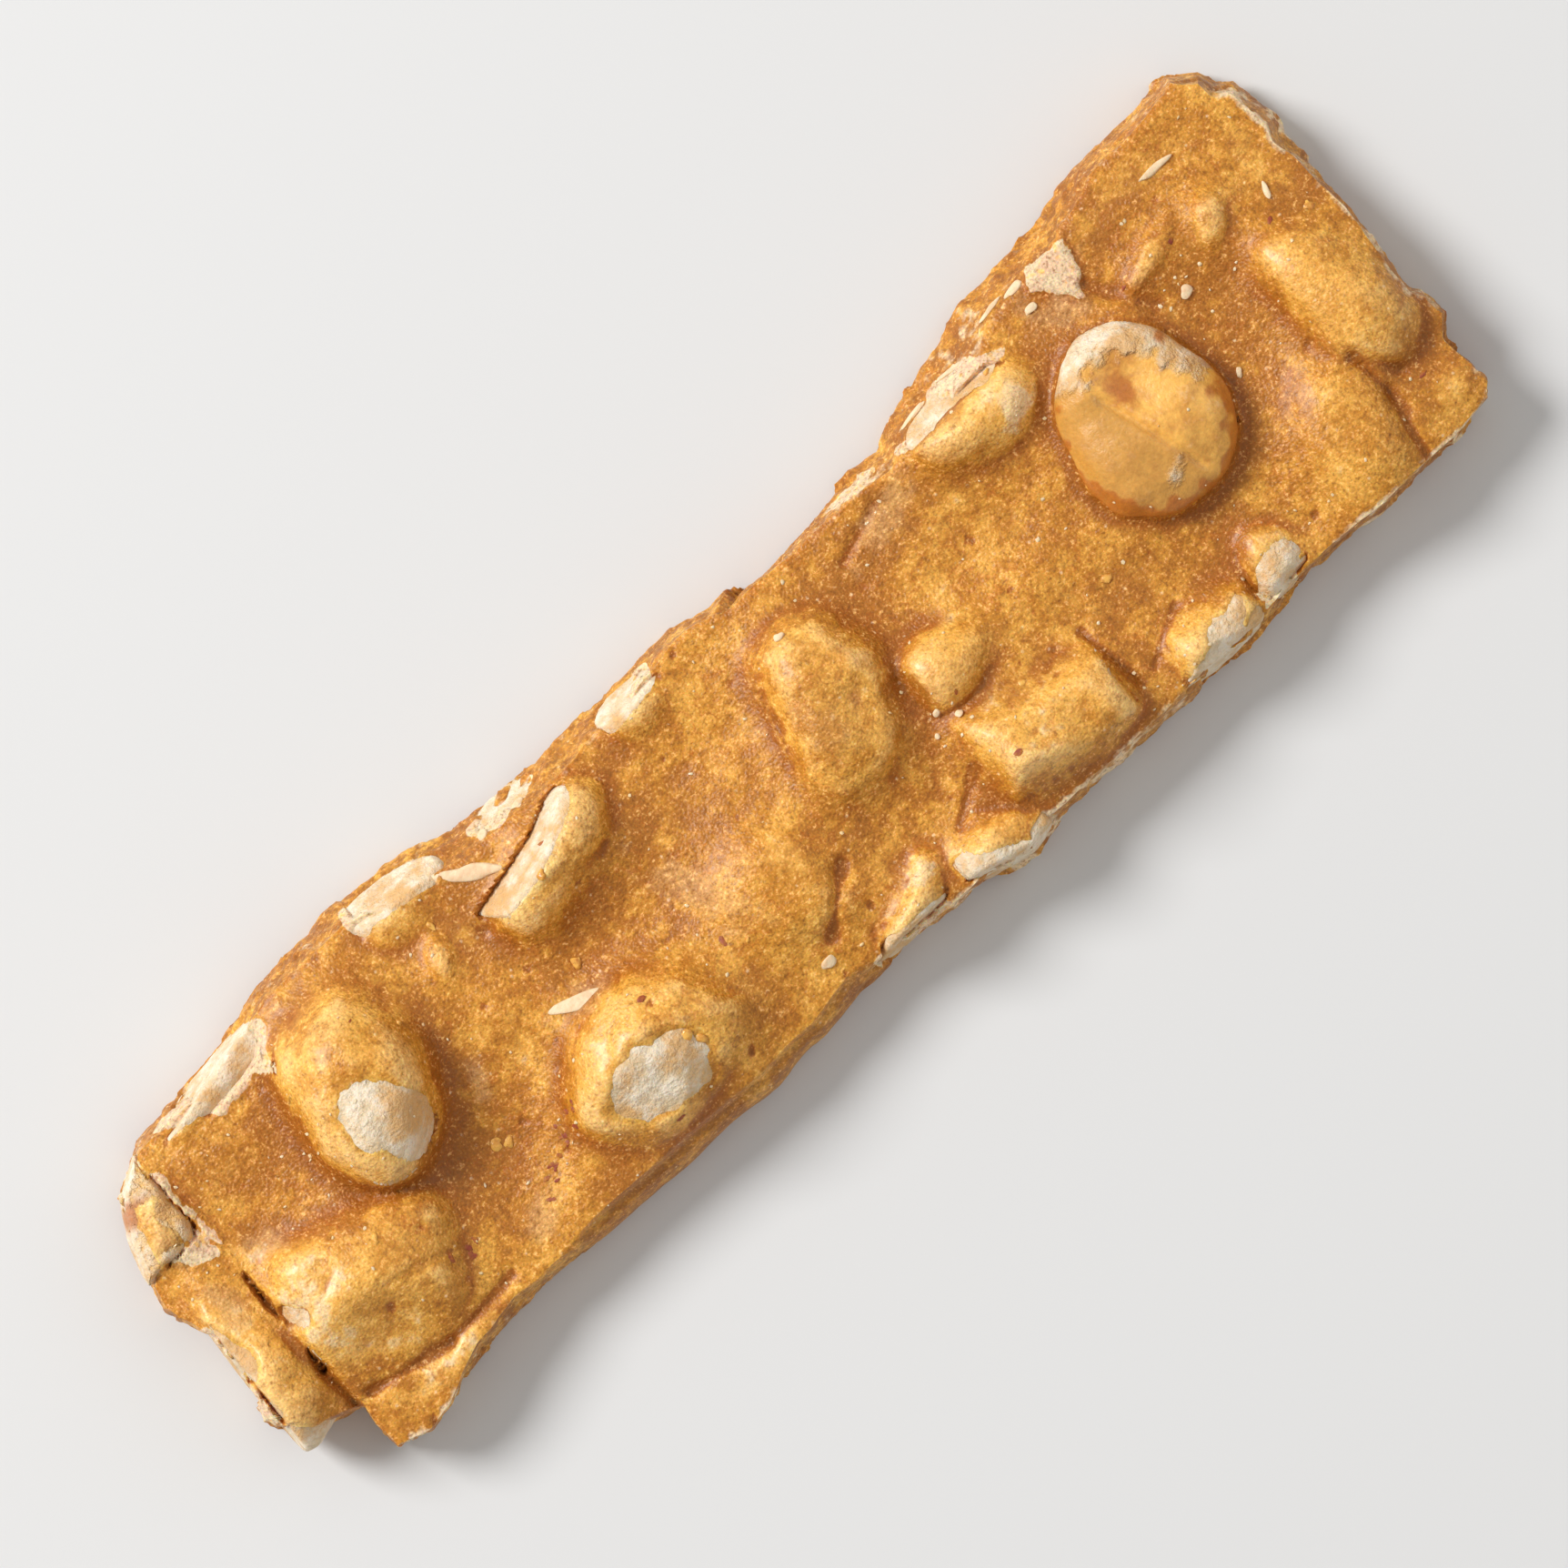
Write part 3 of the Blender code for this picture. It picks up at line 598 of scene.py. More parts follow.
class Edge:
    """The shard's outline as one loop of points, seen from above and counter-clockwise."""

    def __init__(self):
        front, right = evenly(FRONT_EDGE, ALONG, 0.012), evenly(RIGHT_EDGE, ACROSS)
        back, left = evenly(BACK_EDGE, ALONG, 0.022), evenly(LEFT_EDGE, ACROSS)
        loop = np.concatenate([front[:-1], right[:-1], back[:0:-1], left[:0:-1]])
        self.widest = loop[:, :2]
        self.set_back = loop[:, 2]
        ahead, behind = np.roll(self.widest, -3, axis=0), np.roll(self.widest, 3, axis=0)
        along = ahead - behind
        along /= np.hypot(*along.T)[:, None]
        for _ in range(12):
            along = (np.roll(along, 1, axis=0) + along + np.roll(along, -1, axis=0)) / 3
        along /= np.hypot(*along.T)[:, None]
        self.along = along
        self.outward = np.stack([along[:, 1], -along[:, 0]], axis=1)
        steps = np.hypot(*(np.roll(self.widest, -1, axis=0) - self.widest).T)
        self.reached = np.concatenate([[0], np.cumsum(steps)[:-1]])
        self.length = steps.sum()

    def plane(self, k):
        """The broken side at one point of the loop, as a point and an outward normal."""
        low = Vector((*self.widest[k], THICKNESS * WIDEST))
        rim = Vector((*(self.widest[k] - self.outward[k] * self.set_back[k]), THICKNESS))
        along = Vector((*self.along[k], 0))
        return low, along.cross(rim - low).normalized()


EDGE = Edge()


# ---------------------------------------------------------------- peanuts

def place_in(item, node):
    """Moves a form onto its solid in the frame, by their inner sides where the break shortened it."""
    points = points_of(item)
    low, high = points.min(0), points.max(0)
    cad_low, cad_high = (np.array(corner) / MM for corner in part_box(node))
    middle = (cad_low + cad_high) / 2
    shift = middle - (low + high) / 2
    for axis in BROKEN_SIDES.get(node, (0, ()))[1]:
        if middle[axis] < 0:
            shift[axis] = cad_high[axis] - high[axis]
        else:
            shift[axis] = cad_low[axis] - low[axis]
    shift[2] = cad_low[2] - low[2]
    item.data.transform(Matrix.Translation(shift))
    return Vector(shift)


def cut_face(item, point, normal):
    """Cuts away what lies beyond a plane and closes the cut."""
    only(item)
    bpy.ops.object.mode_set(mode="EDIT")
    bpy.ops.mesh.select_all(action="SELECT")
    bpy.ops.mesh.bisect(plane_co=point, plane_no=normal, use_fill=True, clear_outer=True,
                        threshold=1e-4)
    bpy.ops.object.mode_set(mode="OBJECT")


def reach_along(item, middle, normal):
    """How far the object reaches from the middle along a direction."""
    return float(((points_of(item) - np.array(middle)) @ np.array(normal)).max())


def side_planes(middle, reach, count):
    """Planes of the broken side that come nearest to a peanut, spread over its length."""
    gaps = np.hypot(*(EDGE.widest - np.array(middle[:2])).T)
    near = int(np.argmin(gaps))
    spread = int(reach / WALL_SPACING)
    total = len(EDGE.widest)
    steps = np.linspace(-spread, spread, count) if count > 1 else [0]
    return [EDGE.plane((near + int(step)) % total) for step in steps]


def whole_peanut(name, form, turn, tilt, square, lumps):
    """An unbroken peanut in millimetres, round the middle."""
    bpy.ops.mesh.primitive_uv_sphere_add(segments=48, ring_count=32, radius=1)
    item = added(name.replace("_", "-"))
    unit = points_of(item)
    along, across, up = unit[:, 2], unit[:, 0], unit[:, 1]
    along, across, up = (np.sign(c) * np.abs(c) ** square for c in (along, across, up))
    taper = 1 - TAPER * along
    seam = 1 - 0.05 * np.exp(-(up / 0.10) ** 2)  # the line between its two halves
    shaped = (along * form[0] / 2, across * form[1] / 2 * taper * seam, up * form[2] / 2 * taper)
    set_points(item, np.stack(shaped, axis=1))
    turned = Euler((0, -math.radians(tilt), math.radians(turn)), "XYZ").to_matrix().to_4x4()
    item.data.transform(turned)
    item.location = (37 * len(bpy.data.meshes), 0, 0)  # so that no two take the same lumps
    roughen(item, 5.0, lumps * 2.2)
    item.location = (0, 0, 0)
    return item


def peanut(name, relief, form, turn, tilt=0, square=1.0, cuts=(), bare=(), lumps=0.5, wrinkle=0.0,
           **_):
    """One roasted peanut in millimetres, with its bare broken faces marked; relief scales its skin."""
    item = whole_peanut(name, form, turn, tilt, square, lumps)
    planes = []
    for azimuth, elevation, share in cuts:
        normal = direction(azimuth, elevation)
        point = normal * share * reach_along(item, (0, 0, 0), normal)
        planes.append((point, normal))
    for point, normal in planes:
        cut_face(item, point, normal)
    shift = place_in(item, name)
    shown = [(planes[k][0] + shift, planes[k][1]) for k in bare]
    if name in BROKEN_SIDES:
        sides = side_planes(shift, form[0] * 0.28, BROKEN_SIDES[name][0])
        for point, normal in sides:
            cut_face(item, point + normal * 0.05, normal)
        shown += sides if name != "peanut_end_lobe" else []

    modify(item, "REMESH", mode="VOXEL", voxel_size=VOXEL, use_smooth_shade=True)
    modify(item, "SMOOTH", factor=0.5, iterations=8)
    points, facing = points_of(item), normals_of(item)
    broken = np.zeros(len(points))
    for point, normal in shown:
        gap = (points - np.array(point)) @ np.array(normal)
        facing_it = rise(facing @ np.array(normal), 0.45, 0.8)
        broken = np.maximum(broken, facing_it * (1 - rise(np.abs(gap), 0.12, 0.35)))
    mark(item, "broken", broken)
    roughen(item, 1.6, relief * (0.07 + wrinkle))
    roughen(item, 0.55, relief * 0.035)
    return item


class Surface:
    """A piece's surface in millimetres, for finding heights on it and places near it."""

    def __init__(self, *items):
        points, polygons, start = [], [], 0
        for item in items:
            own = points_of(item) / MM
            polygons += [tuple(v + start for v in p.vertices) for p in item.data.polygons]
            points.append(own)
            start += len(own)
        self.points = np.concatenate(points)
        self.polygons = polygons
        self.tree = BVHTree.FromPolygons(self.points.tolist(), polygons)
        self.low, self.high = self.points.min(0), self.points.max(0)

    def drop(self, x, y):
        """Place, normal and face of the surface straight below x, y."""
        place, normal, face, _ = self.tree.ray_cast((x, y, self.high[2] + 1), (0, 0, -1))
        return place, normal, face

    def depth(self, point):
        """How far outside the surface a point lies; below 0 it is inside."""
        place, normal, _, gap = self.tree.find_nearest(point)
        outside = (Vector(point) - place).dot(normal) > 0
        return gap if outside else -gap

    def over(self, relief, broken):
        """Height of the surface over the table, and how bare it is there."""
        heights = np.full((relief.rows, relief.columns), -np.inf)
        bare = np.zeros((relief.rows, relief.columns))
        columns = np.nonzero((relief.x[0] > self.low[0]) & (relief.x[0] < self.high[0]))[0]
        rows = np.nonzero((relief.y[:, 0] > self.low[1]) & (relief.y[:, 0] < self.high[1]))[0]
        for r in rows:
            for c in columns:
                place, _, face = self.drop(relief.x[0, c], relief.y[r, 0])
                if place is not None:
                    heights[r, c] = place.z
                    bare[r, c] = broken[list(self.polygons[face])].mean()
        return heights, bare


def swell(heights, thickness):
    """The height of a skin of that thickness over a form."""
    reach = int(math.ceil(thickness / CELL))
    best = heights + thickness
    for i in range(-reach, reach + 1):
        for j in range(-reach, reach + 1):
            gap = math.hypot(i, j) * CELL
            if 0 < gap <= thickness:
                lift = math.sqrt(thickness ** 2 - gap ** 2)
                best = np.maximum(best, np.roll(heights, (i, j), (0, 1)) + lift)
    return best


# ---------------------------------------------------------------- the candy

def coating(relief, name, own, plain):
    """The candy laid over one peanut: its height, the groove round it, whose mask also gives painted
    shade, and how it glows, with painted light on one side.
    """
    form = PEANUTS[name]
    low, high = (np.array(corner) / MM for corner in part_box(name))
    middle = (low + high) / 2
    coat = form["coat"]
    skin = swell(own, coat) if coat > 0 else own + coat
    raised = np.maximum(plain, skin)
    raised = np.maximum(relief.soften(raised, 0.45), np.minimum(raised, own + LEAST_COAT))
    run = relief.soften(raised, 2.2)
    run = np.maximum(raised, relief.soften(np.maximum(raised, run), 0.8))

    folds = relief.grain(2.2, 14, 2.6, form["turn"] + 25) + 0.5 * relief.grain(0.9, 15)
    folded = raised - form.get("wrinkle", 0) * np.abs(folds) * (own > plain)
    raised = np.maximum(folded, np.minimum(raised, own + LEAST_COAT))

    snug = form["snug"] * relief.away_from(middle, form.get("fade"))
    ring = relief.soften(np.where(raised > plain + 0.25, 1.0, 0.0), 0.2)
    patchy = rise(relief.grain(2.5, 13), -0.9, 0.6)
    groove = snug * patchy * np.clip(4 * ring * (1 - ring), 0, 1)

    glow, bright_side = form.get("glow", (0.5, 180))
    # painted light: the side of the peanut towards the glow's azimuth is made yellower, as its lit side
    lit = relief.across_nut(middle, (high - low)[:2].min() / 2, bright_side)
    glow = glow * lit * relief.soften(np.where(own > 0, 1.0, 0.0), 0.8)
    return raised + (1 - snug) * (run - raised), groove, glow


def chipped(relief, height, plain, nuts, bare):
    """The height with the candy off its bare and chipped places; also both places, and the chipped."""
    ragged = 0.10 * relief.grain(1.6, 21) + 0.05 * relief.grain(0.6, 22)
    chips = np.zeros(plain.shape)
    on_nut = rise(nuts - plain, 0.5, 1.4)
    for x, y, half_length, half_width, turn in BARE_PATCHES:
        oval = relief.oval(x, y, half_length, half_width, turn, ragged)
        bare = np.maximum(bare, 1 - rise(oval, 0.92, 1.02))
        near = on_nut * (1 - rise(oval, 1.0, 1.6))  # the candy thins towards the place
        height = height * (1 - near) + np.clip(nuts + 0.04, plain - 1, height) * near
        chips = np.maximum(chips, 0.7 * on_nut * (1 - rise(oval, 0.95, 1.45)))
    for step, *corners in CHIPS:
        chip = 1 - rise(relief.polygon(corners) + 1.3 * ragged, -0.12, 0.12)
        chips = np.maximum(chips, chip)
        height = height + step * chip
    return height, np.maximum(bare, chips), chips


def creased(relief, height):
    """The height with the cracks and creases pressed in, and where they are."""
    wander = 0.12 * relief.grain(3.0, 31)
    cracked = np.zeros(height.shape)
    for x0, y0, x1, y1, half_width, depth in CRACKS:
        near = np.exp(-(relief.line(x0, y0, x1, y1, wander) / (half_width + 0.05)) ** 2)
        height = height - depth * near
        cracked = np.maximum(cracked, near * min(depth, 1))
    return height, cracked


def roughened(relief, height):
    """The height with lumps, flow lines and pits, as the candy set."""
    lumps = 0.06 * relief.grain(4.2, 41) + 0.018 * relief.grain(1.7, 42)
    flow = 0.028 * relief.grain(1.5, 45, 3.5, 60) * rise(relief.grain(14, 46), -0.2, 0.9)
    pits = rise(relief.grain(1.1, 44), 2.3, 3.2)
    return height + (lumps + flow + 0.012 * relief.grain(0.7, 43)) - 0.25 * pits


def candy_relief(relief, peanuts):
    """The candy's height over the table, and masks of how it looks there."""
    plain = THICKNESS + 0.14 * relief.grain(18, 11) + 0.11 * relief.grain(7, 12)
    for x, y, half_length, half_width, mound, turn in MOUNDS:
        plain += mound * relief.hill(x, y, half_length, half_width, turn)
    found = {name: Surface(item).over(relief, values_of(item, "broken"))
             for name, item in peanuts.items()}
    nuts = np.max([own for own, _ in found.values()], axis=0)
    plain += 0.55 * relief.soften(np.clip(nuts - plain, 0, 3), 2.6)
    height = plain.copy()
    bare, groove_shades, glows = (np.zeros(plain.shape) for _ in range(3))
    for name, (own, own_bare) in found.items():
        raised, groove, glow = coating(relief, name, own, plain)
        height = np.maximum(height, raised) - 0.08 * groove
        groove_shades = np.maximum(groove_shades, groove)
        glows = np.maximum(glows, glow)
        if PEANUTS[name]["coat"] <= 0:
            own_bare = np.where(own > plain, 1.0, 0.0)
        bare = np.maximum(bare, own_bare)

    height, bare, chips = chipped(relief, height, plain, nuts, bare)
    height, cracked = creased(relief, height)
    height = roughened(relief, height)

    # keep a skin of candy over the peanuts, but lay them open where they are bare
    covered = np.where((nuts > plain) & (cracked < 0.5), nuts + 0.08, height)
    height = np.maximum(height, covered)
    near = rise(relief.soften(bare, 0.35), 0.02, 0.35) * (nuts > plain - 0.2)
    height = height * (1 - near) + np.clip(nuts + 0.05, plain - 1, height) * near
    shown = rise(relief.soften(bare, 0.1), 0.35, 0.7) * rise(nuts - plain, -0.4, 0.1)
    low = np.minimum(height, np.maximum(nuts - 0.2, plain - 0.1))
    height = height * (1 - shown) + low * shown

    cover = np.where(nuts > -1, height - nuts, NO_NUT)
    glows = glows * relief.soften(1 - rise(cover, 0.2, 2.2), 0.7)
    # Several of these masks feed painted light and shade: the yellow over the peanuts in part, and the
    # hollows, creases, ridges, broad rises, cracks and the grooves round the peanuts.
    looks = {
        "thin_and_lit": np.maximum(glows, spots(relief, GLOWS, 77)),
        "hollow_shade": spots(relief, HOLLOW_SHADES, 75),
        "crease": relief.soften(height, 0.55) - height,
        "ridge": height - relief.soften(height, 0.9),
        "slope": height - relief.soften(height, 3.0),
        "crack_shade": cracked,
        "chip": chips,
        "seam": groove_shades,
    }
    return height, looks


def spots(relief, ovals, seed):
    """The strength of ragged, soft-edged ovals over the table."""
    found = np.zeros((relief.rows, relief.columns))
    ragged = 0.16 * relief.grain(3.2, seed) + 0.10 * relief.grain(1.2, seed + 1)
    for x, y, half_length, half_width, turn, strength in ovals:
        oval = relief.oval(x, y, half_length, half_width, turn, ragged)
        found = np.maximum(found, strength * (1 - rise(oval, 0.1, 1.25)))
    return found


def rim_noise(count, size, seed):
    """Even noise round the loop of the edge, with bumps of one size in millimetres."""
    noise = np.random.default_rng(seed).standard_normal(count)
    band = noise_band(size, np.fft.rfftfreq(count, EDGE.length / count) ** 2)
    made = np.fft.irfft(np.fft.rfft(noise) * band, n=count)
    return made / made.std()


def wall_noise(size, seed, stretch=1.0):
    """Even noise on the broken side, rows down it and columns round it, in bumps of one size."""
    count, rows = len(EDGE.widest), 4 * WALL_RINGS
    noise = np.random.default_rng(seed).standard_normal((rows, count))
    around = np.fft.rfftfreq(count, EDGE.length / count)[None, :]
    down = np.fft.fftfreq(rows, THICKNESS / WALL_RINGS)[:, None]
    band = noise_band(size, around ** 2 + (down * stretch) ** 2)
    made = np.fft.irfft2(np.fft.rfft2(noise) * band, s=noise.shape)
    return (made / made.std())[:WALL_RINGS + 1]


def facets(seed, spacing, depth):
    """Flat facets on the broken side, each with its own depth and slant."""
    random = np.random.default_rng(seed)
    number = int(EDGE.length * THICKNESS / spacing ** 2)
    around = random.uniform(0, EDGE.length, number)
    down = random.uniform(-0.5, THICKNESS + 0.5, number)
    offset = random.uniform(-1, 1, number) * depth
    slant = random.uniform(-1, 1, (number, 2)) * depth / spacing * 1.2
    s = EDGE.reached[None, :]
    z = np.linspace(0, THICKNESS, WALL_RINGS + 1)[:, None]
    best = np.full((WALL_RINGS + 1, len(s[0])), np.inf)
    made = np.zeros(best.shape)
    for k in range(number):
        ds = (s - around[k] + EDGE.length / 2) % EDGE.length - EDGE.length / 2
        dz = z - down[k]
        gap = ds ** 2 + (1.3 * dz) ** 2
        nearer = gap < best
        made = np.where(nearer, offset[k] + ds * slant[k, 0] + dz * slant[k, 1], made)
        best = np.minimum(best, gap)
    return made


def smooth_side():
    """How smooth the side is round the loop: 1 where the candy ran out to a round edge unbroken."""
    x, y = EDGE.widest.T
    return np.where(y < 0, rise(x, -34, -30) * (1 - rise(x, -8, -4)), 0)


def chalkiness():
    """How pale the broken side is round the loop."""
    x, y = EDGE.widest.T
    places = [pale * np.exp(-((x - sx) ** 2 + (y - sy) ** 2) / reach ** 2)
              for sx, sy, reach, pale in CHALK]
    return np.maximum(0.3, np.max(places, axis=0))


def wall_places(relief, height):
    """Places of the rings down the broken side, from the top rim to the underside."""
    smooth = smooth_side()
    broken = 1 - smooth
    rough = facets(51, 3.8, 0.20) + facets(52, 1.5, 0.10)
    rough += 0.045 * wall_noise(1.3, 53, 0.6) + 0.025 * wall_noise(0.6, 54)
    rough -= 0.28 * rise(wall_noise(1.0, 56), 1.7, 2.6) + 0.16 * rise(wall_noise(0.6, 57), 1.8, 2.6)
    rough *= 0.45 + 0.55 * np.linspace(0, 1, WALL_RINGS + 1)[:, None] ** 0.5
    rough[0] = (np.roll(rough[0], 2) + np.roll(rough[0], 1) + rough[0] + np.roll(rough[0], -1)) / 4
    rough = rough * (0.15 + 0.85 * broken) + 0.1 * smooth * wall_noise(5, 55)
    down = np.linspace(0, 1, WALL_RINGS + 1)[:, None]
    share = 1 - down
    upper = np.clip((share - WIDEST) / (1 - WIDEST), 0, 1)
    rounded = 1 - np.sqrt(np.clip(1 - upper ** 2, 0, 1))
    back = EDGE.set_back * (upper * broken + 1.15 * rounded * smooth)
    lower = np.clip((WIDEST - share) / WIDEST, 0, 1)
    back = back + FOOT * lower ** 2 + 0.25 * rise(down, 0.9, 1.0) - rough
    places = np.empty((WALL_RINGS + 1, len(EDGE.widest), 3))
    places[:, :, 0] = EDGE.widest[:, 0] - EDGE.outward[:, 0] * back
    places[:, :, 1] = EDGE.widest[:, 1] - EDGE.outward[:, 1] * back
    rim = relief.read(height, places[0, :, 0], places[0, :, 1]) - 0.08 - 0.8 * smooth
    rim = np.clip(rim, 2.5, None)
    places[:, :, 2] = rim * share
    return places


def push_behind(places, peanuts):
    """Sets the broken side back behind the broken faces of the peanuts, so that they show."""
    near = [Surface(peanuts[name]) for name in BROKEN_SIDES if name in peanuts]
    shown = np.zeros(places.shape[:2])
    for surface in near:
        low, high = surface.low - 0.6, surface.high + 0.6
        inside = np.all((places > low) & (places < high), axis=2)
        for ring, step in np.argwhere(inside):
            depth = surface.depth(places[ring, step])
            shown[ring, step] = max(shown[ring, step], 1 - float(rise(depth, -0.05, 0.25)))
    push = 0.5 * shown
    push[-1] = 0
    places[:, :, :2] -= EDGE.outward[None, :, :] * push[:, :, None]
    return shown


def top_places(relief, height, rim, u, v, inset):
    """Places of the top surface's grid of points, spanned between the four parts of the rim."""
    front = rim[:ALONG + 1]
    right = rim[ALONG:ALONG + ACROSS + 1]
    back = rim[ALONG + ACROSS:2 * ALONG + ACROSS + 1][::-1]
    left = np.concatenate([rim[2 * ALONG + ACROSS:], rim[:1]])[::-1]
    s, t = (u / ALONG)[:, None], (v / ACROSS)[:, None]
    places = (1 - t) * front[u] + t * back[u] + (1 - s) * left[v] + s * right[v]
    places -= (1 - s) * (1 - t) * front[0] + s * (1 - t) * front[-1]
    places -= (1 - s) * t * back[0] + s * t * back[-1]
    inner = relief.read(height, places[:, 0], places[:, 1])
    blend = np.clip(inset / 2.0, 0, 1)
    places[:, 2] = places[:, 2] * (1 - blend) + inner * blend
    return places


def loop_places(u, v):
    """Which place of the edge's loop each point of the grid's border has; -1 inside it."""
    front, right = v == 0, (u == ALONG) & (v > 0)
    back, left = (v == ACROSS) & (u < ALONG), (u == 0) & (v > 0) & (v < ACROSS)
    place = np.full(len(u), -1)
    place[front] = u[front]
    place[right] = ALONG + v[right]
    place[back] = 2 * ALONG + ACROSS - u[back]
    place[left] = 2 * ALONG + 2 * ACROSS - v[left]
    return place


def wall_in(item):
    """Draws the grid's border down in rings, one unit each, and closes the underside."""
    only(item)
    bpy.ops.object.mode_set(mode="EDIT")
    bpy.ops.mesh.select_mode(type="EDGE")
    bpy.ops.mesh.select_all(action="DESELECT")
    bpy.ops.mesh.select_non_manifold()
    for _ in range(WALL_RINGS):
        bpy.ops.mesh.extrude_edges_move(TRANSFORM_OT_translate={"value": (0, 0, -1)})
    bpy.ops.mesh.edge_face_add()
    bpy.ops.mesh.select_all(action="SELECT")
    bpy.ops.mesh.normals_make_consistent(inside=False)
    bpy.ops.object.mode_set(mode="OBJECT")


def candy_slab(relief, peanuts):
    """The poured candy, broken off along its four sides, as one closed mesh in millimetres."""
    height, looks = candy_relief(relief, peanuts)
    places = wall_places(relief, height)
    shown = push_behind(places, peanuts)

    bpy.ops.mesh.primitive_grid_add(x_subdivisions=ALONG, y_subdivisions=ACROSS, size=2)
    item = added("candy-slab")
    flat = points_of(item)
    u = np.rint((flat[:, 0] + 1) / 2 * ALONG).astype(int)
    v = np.rint((flat[:, 1] + 1) / 2 * ACROSS).astype(int)
    inset = np.minimum(np.minimum(u, ALONG - u), np.minimum(v, ACROSS - v))
    mark(item, "loop_place", loop_places(u, v))
    wall_in(item)

    loop_place = np.rint(values_of(item, "loop_place")).astype(int)
    item.data.attributes.remove(item.data.attributes["loop_place"])
    ring = np.rint(-points_of(item)[:, 2]).astype(int)
    side = ring > 0
    on_side = ring[side], loop_place[side]
    points = np.empty((len(ring), 3))
    points[:len(flat)] = top_places(relief, height, places[0], u, v, inset)
    points[side] = places[on_side]
    set_points(item, points)

    x, y, _ = points.T
    upper_side = 1 - rise(ring, 9, 13)
    for name, field in looks.items():
        values = relief.read(field, x, y)
        mark(item, name, np.where(side, values * upper_side if name == "chip" else 0, values))
    mark(item, "side", side)
    mark(item, "haze_and_highlight", np.where(side, 0, relief.read(haze_and_highlight_field(relief), x, y)))

    # the crushed, pale parts of the side and of the rim
    pale = (1 - smooth_side()) * chalkiness()
    crushed = rise(wall_noise(2.2, 61, 2.0) + wall_noise(0.8, 63, 1.5) * 0.6, -1.0, 1.3) * pale
    cream = np.zeros(len(points))
    cream[side] = (crushed + shown * 0.4)[on_side]
    steps_in = ring.copy()
    steps_in[:len(inset)] = inset
    rimmed = rise(rim_noise(len(EDGE.widest), 3, 62), -1.6, 0.2) * pale
    cream = np.maximum(cream, np.exp(-(steps_in / 1.8) ** 2) * rimmed[nearest_loop(points)])
    mark(item, "cream", np.clip(cream, 0, 1))
    return item


def nearest_loop(points):
    """The nearest place of the edge's loop for each point."""
    found = np.empty(len(points), int)
    for start in range(0, len(points), 4000):
        part = points[start:start + 4000, None, :2] - EDGE.widest[None, :, :]
        found[start:start + 4000] = np.argmin((part ** 2).sum(axis=2), axis=1)
    return found


def haze_and_highlight_field(relief):
    """How dull and pale the candy is over the table, some of it painted highlight."""
    haze_and_highlight = np.zeros((relief.rows, relief.columns))
    ragged = 0.25 * relief.grain(2.0, 71) + 0.15 * relief.grain(0.8, 72)
    for x, y, half_length, half_width, turn in HAZES_AND_HIGHLIGHTS:
        haze_and_highlight = np.maximum(haze_and_highlight, 1 - rise(relief.oval(x, y, half_length, half_width, turn, ragged),
                                         0.3, 1.2))
    return haze_and_highlight


# ---------------------------------------------------------------- small pieces on the surface


def small_piece(random, half_length, half_width, thickness, roughness=0.25, detail=2):
    """One rough flake or grain, lying flat at the middle, in millimetres."""
    bpy.ops.mesh.primitive_ico_sphere_add(subdivisions=detail, radius=1)
    item = added("small-piece")
    points = points_of(item)
    bumps = random.standard_normal((5, 3))
    swing = sum(np.sin(points @ bump * 2.2 + k) for k, bump in enumerate(bumps)) / 3
    points *= (1 + roughness * swing)[:, None]
    points[:, 2] = np.sign(points[:, 2]) * np.abs(points[:, 2]) ** 0.6
    set_points(item, points * np.array([half_length, half_width, thickness / 2]))
    return item


def lay_on(surface, item, x, y, turn, sink):
    """Lays a small piece on the surface, leaning with it, and sunk by a share of its thickness."""
    place, normal, _ = surface.drop(x, y)
    if place is None or normal.z < 0.35:
        bpy.data.meshes.remove(item.data)
        return None
    lean = Vector((0, 0, 1)).rotation_difference(normal.lerp(Vector((0, 0, 1)), 0.3).normalized())
    turned = Matrix.Rotation(math.radians(turn), 4, "Z")
    middle = place + normal * sink
    item.data.transform(Matrix.Translation(middle) @ lean.to_matrix().to_4x4() @ turned)
    return item


def joined(name, items):
    """The pieces as one object."""
    items = [item for item in items if item is not None]
    only(items[0])
    for item in items:
        item.select_set(True)
    bpy.ops.object.join()
    return added(name)


def inside_edge(x, y, margin):
    """Whether x, y is on the top surface, at least margin inside the widest line."""
    gap = EDGE.widest - np.array([x, y])
    near = int(np.argmin((gap ** 2).sum(axis=1)))
    return float(gap[near] @ EDGE.outward[near]) > margin + EDGE.set_back[near]


def scattered(random, count, margin=0.6):
    """Random places on the top surface."""
    places = []
    while len(places) < count:
        x, y = random.uniform(-55, 55), random.uniform(-15, 15)
        if inside_edge(x, y, margin):
            places.append((x, y))
    return places


def small_pieces(name, places, surface, seed, sizes, thickness, roughness=0.25, detail=1, sink=0.0):
    """Pieces of one kind laid on the surface, each of a size between the two given."""
    random = np.random.default_rng(seed)
    made = []
    for x, y in places:
        length = random.uniform(*sizes)
        width = length * random.uniform(0.45, 0.95)
        item = small_piece(random, length, width, thickness * random.uniform(0.6, 1.3),
                           roughness, detail)
        turn = random.uniform(0, 360)
        made.append(lay_on(surface, item, x, y, turn, sink))
    return joined(name, made)


def pale_flakes(surface, seed):
    """The larger pale flakes of peanut and skin that lie on the candy."""
    random = np.random.default_rng(81 + seed)
    made = []
    for x, y, half_length, half_width, turn, thickness in FLAKES:
        item = small_piece(random, half_length, half_width, thickness, 0.3, 3)
        made.append(lay_on(surface, item, x, y, turn, thickness * 0.1))
    return joined("pale-flakes", made)


